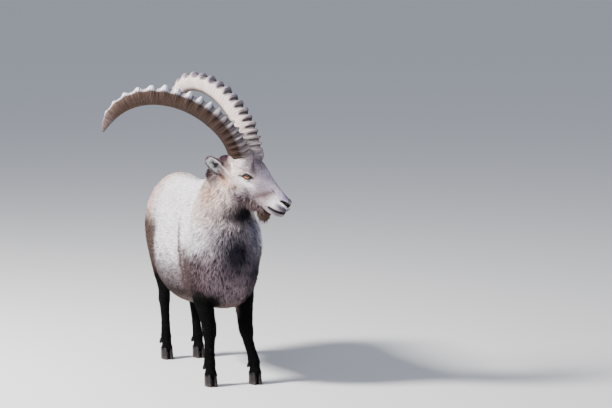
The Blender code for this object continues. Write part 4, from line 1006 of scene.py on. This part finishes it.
for name, side in (("left", 1), ("right", -1)):
    start = on_face(-0.022, 0.047 * side, -0.110)
    axis = unit(HEADING * -0.34 + HEAD_LEFT * (0.60 * side) + HEAD_UP * 0.72)
    facing = HEADING * 0.55 + HEAD_LEFT * (0.80 * side) - HEAD_UP * 0.25
    facing = unit(facing - axis * (facing @ axis))
    across = np.cross(axis, facing)

    # A leaf, widest half way, bent round its axis in an arc that opens towards the tip
    rows, count = 40, 33
    share = np.linspace(0, 1, rows)[:, None]
    half = EAR_HALF * (0.36 + 0.64 * np.sin(np.pi / 2 * np.minimum(1, share / 0.5)) ** 1.3)
    half = half * np.sqrt(np.maximum(0.004, 1 - np.maximum(0, (share - 0.5) / 0.5) ** 2.0)) - 0.0012
    cup = 0.75 - 0.30 * share
    wall = 0.0030 + 0.0035 * (1 - share)
    curl = facing * (0.010 * share**2)[..., None]
    centre = start + axis * (EAR_LENGTH * (share - EAR_FOOT))[..., None] - curl
    angle = np.pi * np.linspace(-1, 1, count)[None] * 0.55 * (1.25 - 0.5 * share)
    reach = across * (half * np.sin(angle))[..., None] - facing * (half * cup * np.cos(angle))[..., None]
    rim = np.where((np.arange(count) == 0) | (np.arange(count) == count - 1), 0.2, 1.0)[None, :, None]
    outer = centre + reach
    inner = centre + reach + -unit(reach) * rim * wall[..., None]
    ear_points, ear_faces = tube(np.concatenate([outer, inner[:, ::-1]], axis=1))

    # Brown behind, pale inside with painted shade in its hollow, and dark along the rim and the tip
    edge = np.abs(np.linspace(-1, 1, count))[None] * np.ones((rows, 1))
    # Painted shade: near black in the deepest part of the ear's cup
    hollow = ramp(0.50, 0.10, edge + 0.12 * np.sin(share * 23))
    hollow = hollow * ramp(0.88, 0.60, share) * ramp(0.20, 0.45, share)
    outside = layered(linear(140, 122, 118), (RIM_SHADE, ramp(0.7, 0.95, edge)))
    inside = layered(linear(236, 233, 236), ((24, 21, 23), hollow * 0.96),
                     (RIM_SHADE, np.maximum(ramp(0.84, 0.96, edge), ramp(0.88, 0.97, share)) * 0.9))
    tone = capped(np.concatenate([outside, inside[:, ::-1]], axis=1).reshape(-1, 3))
    ear = make_object(f"ear_{name}_shown", ear_points, ear_faces, hide, tone)
    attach(ear, "root")
    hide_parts(f"ear_{name}")

    # Hair along both faces, leaning from the axis out to the rim
    grid = np.meshgrid(np.linspace(0.02, 0.30, rows), np.linspace(0.02, 0.60, 2 * count), indexing="ij")
    grid = np.stack(grid, -1)
    grid = np.vstack([grid.reshape(-1, 2), [[0.02, 0.3]], [[0.30, 0.3]]])
    root, root_normal, root_place, chosen = scattered(
        ear_points, ear_faces, point_normals(ear_points, ear_faces), grid[ear_faces],
        ear_depth, 61 + side, ear_sizes)
    row = (np.clip((root - start) @ axis / EAR_LENGTH + EAR_FOOT, 0, 1) * (rows - 1)).astype(int)
    lie = axis + 0.35 * unit(root - centre[row, 0])
    lie = unit(lie - root_normal * (lie * root_normal).sum(-1, keepdims=True))
    blades = tufts(root, root_normal, lie, *ear_sizes(root), root_place, 63 + side)
    draw = np.random.default_rng(65 + side)
    base = tone[ear_faces[chosen, 0]] * np.clip(1 + 0.18 * draw.normal(size=(len(root), 1)), 0.5, 1.7)
    shades = np.clip(base[:, None] * EAR_ROOT_SHADE_AND_TIP_TONES[None, :, None], 0, 1).reshape(-1, 3)
    hair = make_object(f"ear_{name}_hair", blades[0], blades[1], fur, shades, blades[2])
    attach(hair, "root")


# Eyes: a polished ball with an amber iris, a wide dark pupil that lies level, and a dark rim. The lids are a
# fold of dark bare skin that lies on the ball round an almond opening and runs out under the hair of the face.
EYE_RADIUS = 0.0185
AROUND = 72
eye_finish = painted("eye", 0.06, 0.05, 0.0, 900.0, coat=1.0)
lid_finish = painted("lid", 0.45, 0.10, 0.0003, 900.0)
for name, side in (("left", 1), ("right", -1)):
    axes = eye_axes(side)
    middle = on_face(*(EYE_PLACE * [1, side, 1]))
    polar = np.linspace(0.02, np.pi - 0.02, 90)[:, None]
    turn = turns(AROUND)
    ring = np.sin(polar)
    local = np.stack([np.cos(polar) * np.ones((1, AROUND)), ring * np.cos(turn), ring * np.sin(turn)], -1)
    ball_points, ball_faces = tube(middle + local * (EYE_RADIUS - 0.0002) @ axes)

    # Iris darker at its rim, with painted shade under the upper lid and fine rays, and a pupil that is a rounded
    # level bar
    at, level, upright = (local * EYE_RADIUS).reshape(-1, 3).T
    out = np.hypot(level, upright)
    spoke = np.arctan2(upright, level)
    ray = 0.5 + 0.5 * np.sin(spoke * 34 + 3 * np.sin(spoke * 5))
    # Painted shade: the iris darkens towards the upper lid, which shades it
    dark = ramp(0.0045, 0.0105, out) * 0.7 + 0.12 * ray + 0.80 * ramp(-0.0010, 0.0045, upright)
    iris = layered(linear(172, 98, 28), ((70, 35, 14), np.clip(dark, 0, 1)))
    shown = (ramp(0.0110, 0.0098, out) * (at > 0))[:, None]
    bar = ((np.abs(level) / 0.0062) ** 4 + (np.abs(upright - 0.0024) / 0.0034) ** 4) ** 0.25
    tone = linear(34, 22, 17) * (1 - shown) + iris * shown
    tone = capped(layered(tone, ((6, 6, 9), ramp(1.12, 0.92, bar) * (at > 0))))
    ball = make_object(f"eye_{name}_shown", ball_points, ball_faces, eye_finish, tone)
    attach(ball, "root")
    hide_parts(f"eye_{name}")

    # Lids: rings at growing multiples of the opening, on the ball inside and on the skin outside, with a fold
    near = (skin_points - middle) @ axes.T
    near = near[(near[:, 0] > -0.004) & (np.hypot(near[:, 1], near[:, 2]) < 0.06)]
    stops = np.array([0.95, 0.98, 1.04, 1.12, 1.24, 1.40, 1.60, 1.85, 2.1, 2.3, 2.3])[:, None]
    folds = (-0.001, 0.0006, 0.0016, 0.0020, 0.0019, 0.0016, 0.0012, 0.0006, -0.0006, -0.003)
    above, below = np.maximum(0, np.sin(turn)), np.sign(np.sin(turn))
    level = OPENING_LONG * np.cos(turn) * stops
    tall = np.where(np.sin(turn) > 0, 0.0072, 0.0080)
    upright = tall * below * np.abs(np.sin(turn)) ** 1.25 * stops + 0.0022 * (stops - 1) * below
    on_ball = np.sqrt(np.maximum(EYE_RADIUS**2 - level**2 - upright**2, 0.005**2))
    gap = (level.ravel()[:, None] - near[:, 1]) ** 2 + (upright.ravel()[:, None] - near[:, 2]) ** 2
    on_skin = near[np.argsort(gap, axis=1)[:, :4], 0].mean(1).reshape(level.shape)
    out = ramp(1.1, 2.1, stops)
    proud = np.interp(stops, stops[:-1, 0], folds) * (1 + 0.5 * above)
    height = on_ball * (1 - out) + np.maximum(on_skin, on_ball * (1 - out)) * out + proud
    height[-1] -= 0.004
    lid_points = (middle + np.stack([height, level, upright], -1) @ axes).reshape(-1, 3)
    lid_faces = band(len(stops), AROUND)
    corner = lid_points[lid_faces]
    if np.cross(corner[:, 1] - corner[:, 0], corner[:, 2] - corner[:, 0]).sum(0) @ axes[0] < 0:
        lid_faces = lid_faces[:, ::-1]

    # Near black round the opening, furthest out at the corners and above, where the extra width is painted shadow
    # of the brow, then a pale ring, then as the face
    corner_in, corner_out = np.maximum(0, np.cos(turn)) ** 10, np.maximum(0, -np.cos(turn)) ** 8
    # Painted shadow: the near black reaches further out above the opening, where the brow shades the lid
    edge = 1.44 + 0.24 * above + 0.50 * corner_in + 0.40 * corner_out
    tone = layered(
        coat_colour(lid_points, point_normals(lid_points, lid_faces)).reshape(len(stops), AROUND, 3),
        ((232, 224, 216), bell(stops - edge - 0.32, 0.20) * (1 - corner_in) * 0.9),
        ((20, 15, 16), ramp(edge + 0.07, edge - 0.05, stops) * 0.98),
    )
    lid = make_object(f"lids_{name}", lid_points, lid_faces, lid_finish, np.clip(tone.reshape(-1, 3), 0, 1))
    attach(lid, "root")


# Beard: a short dark tuft of coarse locks that hangs from the chin, longest in the middle, and a fringe under
# the jaw. Each lock is a tapering three-sided strip that leaves the skin and falls under its own weight.
LOCK_RINGS = 6
BEARD_MIDDLE, BEARD_HALF = 0.182, 0.032


def locks(root, heading, length, width, fall, seed):
    """Locks: a triangle carried to a point along a path that turns from the heading towards the fall."""
    draw = np.random.default_rng(seed)
    count = len(root)
    share = np.linspace(0, 1, LOCK_RINGS)[None, :, None]
    way = unit(heading[:, None] * (1 - share) + (fall + 0.10 * draw.normal(size=(count, 3)))[:, None] * share)
    step = length[:, None, None] / (LOCK_RINGS - 1)
    spine = root[:, None] + np.cumsum(way * step, axis=1) - way[:, :1] * step
    across = unit(np.cross(way, draw.normal(size=(count, 1, 3))))
    face = np.cross(way, across)
    taper = (width[:, None, None] / 2) * np.sqrt(np.maximum(1 - share**1.6, 0.004))
    taper = taper * (0.7 + 0.3 * ramp(0, 0.3, share))
    rings = np.stack([spine + across * taper, spine - across * taper * 0.5 + face * taper * 0.8,
                      spine - across * taper * 0.5 - face * taper * 0.8], 2)
    points = rings.reshape(-1, 3)
    last = (LOCK_RINGS - 1) * 3
    strip = np.concatenate([band(LOCK_RINGS, 3), [[2, 1, 0]], [[last, last + 1, last + 2]]])
    one = points[:LOCK_RINGS * 3]
    if np.linalg.det(one[strip] - one.mean(0)).sum() < 0:
        strip = strip[:, ::-1]
    return points, (strip[None] + LOCK_RINGS * 3 * np.arange(count)[:, None, None]).reshape(-1, 3)


draw = np.random.default_rng(51)
count = 2600
fringe = draw.random(count) < 0.66
along = np.where(fringe, draw.uniform(0.070, 0.195, count), draw.uniform(0.150, 0.212, count))
aside = draw.normal(0, 1, count) * np.where(fringe, 0.015, 0.010)
root = HORN_ROOT + np.stack([along, aside, -0.150 + 0.06 * (along - 0.17) + 0.30 * aside**2 / 0.02], -1) @ FACE
from_middle = np.clip(np.abs(along - BEARD_MIDDLE) / BEARD_HALF, 0, 1)
thick = 1 - 0.62 * from_middle**1.5 - 0.4 * np.clip(np.abs(aside) / 0.02, 0, 1)
length = np.where(fringe, 0.018 + 0.020 * ramp(0.17, 0.13, along) * ramp(0.07, 0.10, along), 0.064 * thick)
length = length * draw.uniform(0.5, 1.15, count)
heading = -UPRIGHT + HEADING * draw.uniform(-0.35, 0.25, count)[:, None] + HEAD_LEFT * (aside * 14)[:, None]
fall = np.tile([0.0, 0.02, -1.0], (count, 1)) + HEADING * -0.15
lock_points, lock_faces = locks(root, unit(heading), length, 0.0030 * draw.uniform(0.6, 1.3, count), fall, 52)
shade = np.repeat(draw.uniform(0.6, 1.5, count), LOCK_RINGS * 3)[:, None]
down = np.tile(np.linspace(0, 1, LOCK_RINGS).repeat(3), count)
pale = np.repeat(fringe * draw.uniform(0.2, 1.0, count), LOCK_RINGS * 3)
tone = layered(linear(56, 44, 43), ((94, 74, 66), down), ((132, 114, 116), pale)) * shade
flat = np.array([[0.0, 0.0], [0.003, 0.0], [0.0, 0.003]])
lock_uv = np.clip(0.5 + face_place(root)[:, :2], 0, 1).repeat(len(lock_faces) // count, axis=0)
beard = make_object("beard", lock_points, lock_faces, fur, tone, (lock_uv[:, None] + flat[None]).reshape(-1, 2))
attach(beard, "root")


# Hooves: cloven, of dark worn horn. Each claw is flat below, upright inside and sloping in front, and the two
# dewclaws stand behind the fetlock.
CLAW_LENGTH, CLAW_WIDTH, CLAW_HEIGHT, CLAW_GAP = 0.068, 0.0235, 0.047, 0.0028
SPUR_LENGTH, SPUR_WIDE, SPUR_DEEP = 0.021, 0.0085, 0.0065
hoof_finish = painted("hoof", 0.5, 0.2, 0.0005, 500.0)
for kind, out, ahead in (("foreleg", 0.093, -0.412), ("hindleg", 0.070, 0.338)):
    for name, side in (("left", 1), ("right", -1)):
        for toe_name, toe in (("inner", -side), ("outer", side)):
            share = np.concatenate([[0, 0.03, 0.10], np.linspace(0.2, 1.0, 14)])[:, None]
            c, s = np.cos(turns(40))[None], np.sin(turns(40))[None]
            pointed = np.maximum(0, -s) ** 2
            size = (1 - 0.10 * share) * np.where(share == 0, 0.93, 1.0)
            wear = 0.0004 * np.sin(share * 34)
            length = (CLAW_LENGTH - 0.012 * share) * np.where(share == 0, 0.95, 1.0)
            wide = CLAW_WIDTH / 2 * size * (1 - 0.35 * pointed)
            middle = out * side + toe * (CLAW_GAP / 2 + CLAW_WIDTH / 2 - 0.003 * pointed)
            x = middle + wide * np.sign(c) * np.abs(c) ** 0.75
            y = ahead - 0.008 + 0.010 * share + (length / 2 + wear) * s
            z = CLAW_HEIGHT * share * np.ones_like(s)
            claw_points, claw_faces = tube(np.stack([x, y, z], -1) + OFFSET)
            tone = layered(linear(30, 25, 26), ((72, 62, 58), ramp(0.02, 0.0, claw_points[:, 2]) * 0.5))
            claw = make_object(f"claw_{kind}_{name}_{toe_name}_shown", claw_points, claw_faces,
                               hoof_finish, tone)
            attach(claw, "root")
            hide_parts(f"claw_{kind}_{name}_{toe_name}")

            # Dewclaw: a blunt horn spur that points down, back and outwards from the fetlock
            axis = unit(np.array([toe * 0.25, 0.45, -0.85]))
            across = unit(np.cross(axis, [0.0, 1.0, 0.0]))
            share = np.array([-0.6, -0.3, 0.0, 0.3, 0.55, 0.75, 0.9, 1.0])[:, None, None]
            size = np.interp(share, (-0.6, 0, 0.55, 0.85, 1.0), (0.8, 1.0, 0.85, 0.55, 0.12))
            turn = turns(20)[None, :, None]
            fetlock = np.array([out * side + toe * 0.013, ahead + 0.036, 0.078]) + OFFSET
            spur = (fetlock + axis * (SPUR_LENGTH * share) + across * (SPUR_WIDE * size * np.cos(turn))
                    + np.cross(across, axis) * (SPUR_DEEP * size * np.sin(turn)))
            spur_points, spur_faces = tube(spur)
            dewclaw = make_object(f"dewclaw_{kind}_{name}_{toe_name}_shown", spur_points, spur_faces,
                                  hoof_finish, linear(28, 23, 23))
            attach(dewclaw, "root")
            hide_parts(f"dewclaw_{kind}_{name}_{toe_name}")


# Stage: a large plain pale floor under an even pale light, with a broad key from the upper left and a soft fill
# from the front. The camera is far off with a long lens, and aims past the body, which stands left of the middle.
floor_finish = bpy.data.materials.new("floor")
floor_finish.use_nodes = True
floor_shader = floor_finish.node_tree.nodes["Principled BSDF"]
floor_shader.inputs["Base Color"].default_value = (0.80, 0.80, 0.81, 1)
floor_shader.inputs["Roughness"].default_value = 0.9
floor_points = 160.0 * np.array([[-1, -1, 0], [1, -1, 0], [1, 1, 0], [-1, 1, 0]])
floor = make_object("floor", floor_points, np.array([[0, 1, 2], [0, 2, 3]]), floor_finish)

world = bpy.data.worlds.new("studio")
world.use_nodes = True
world.node_tree.nodes["Background"].inputs["Color"].default_value = (0.80, 0.86, 1.0, 1)
world.node_tree.nodes["Background"].inputs["Strength"].default_value = 0.48
bpy.context.scene.world = world

for name, place, power, size, colour in (
    ("key", (-4.2, 0.2, 4.2), 1050, 1.2, (1.0, 0.965, 0.92)),
    ("fill", (-3.0, -6.3, 3.0), 170, 3.0, (0.90, 0.94, 1.0)),
):
    lamp = bpy.data.lights.new(name, "AREA")
    lamp.energy = power
    lamp.size = size
    lamp.color = colour
    holder = bpy.data.objects.new(name, lamp)
    holder.location = place
    holder.rotation_euler = (Vector((0, 0, 0.65)) - Vector(place)).to_track_quat("-Z", "Y").to_euler()
    bpy.context.scene.collection.objects.link(holder)

CAMERA_PLACE, CAMERA_AIM = np.array([-3.267, -11.393, 1.877]), np.array([0.438, -0.0138, 0.679])
lens = bpy.data.cameras.new("camera")
lens.sensor_width = 36
lens.lens = 169.4
camera = bpy.data.objects.new("camera", lens)
camera.location = CAMERA_PLACE + OFFSET
camera.rotation_euler = (Vector(CAMERA_AIM + OFFSET) - camera.location).to_track_quat("-Z", "Y").to_euler()
bpy.context.scene.collection.objects.link(camera)
bpy.context.scene.camera = camera
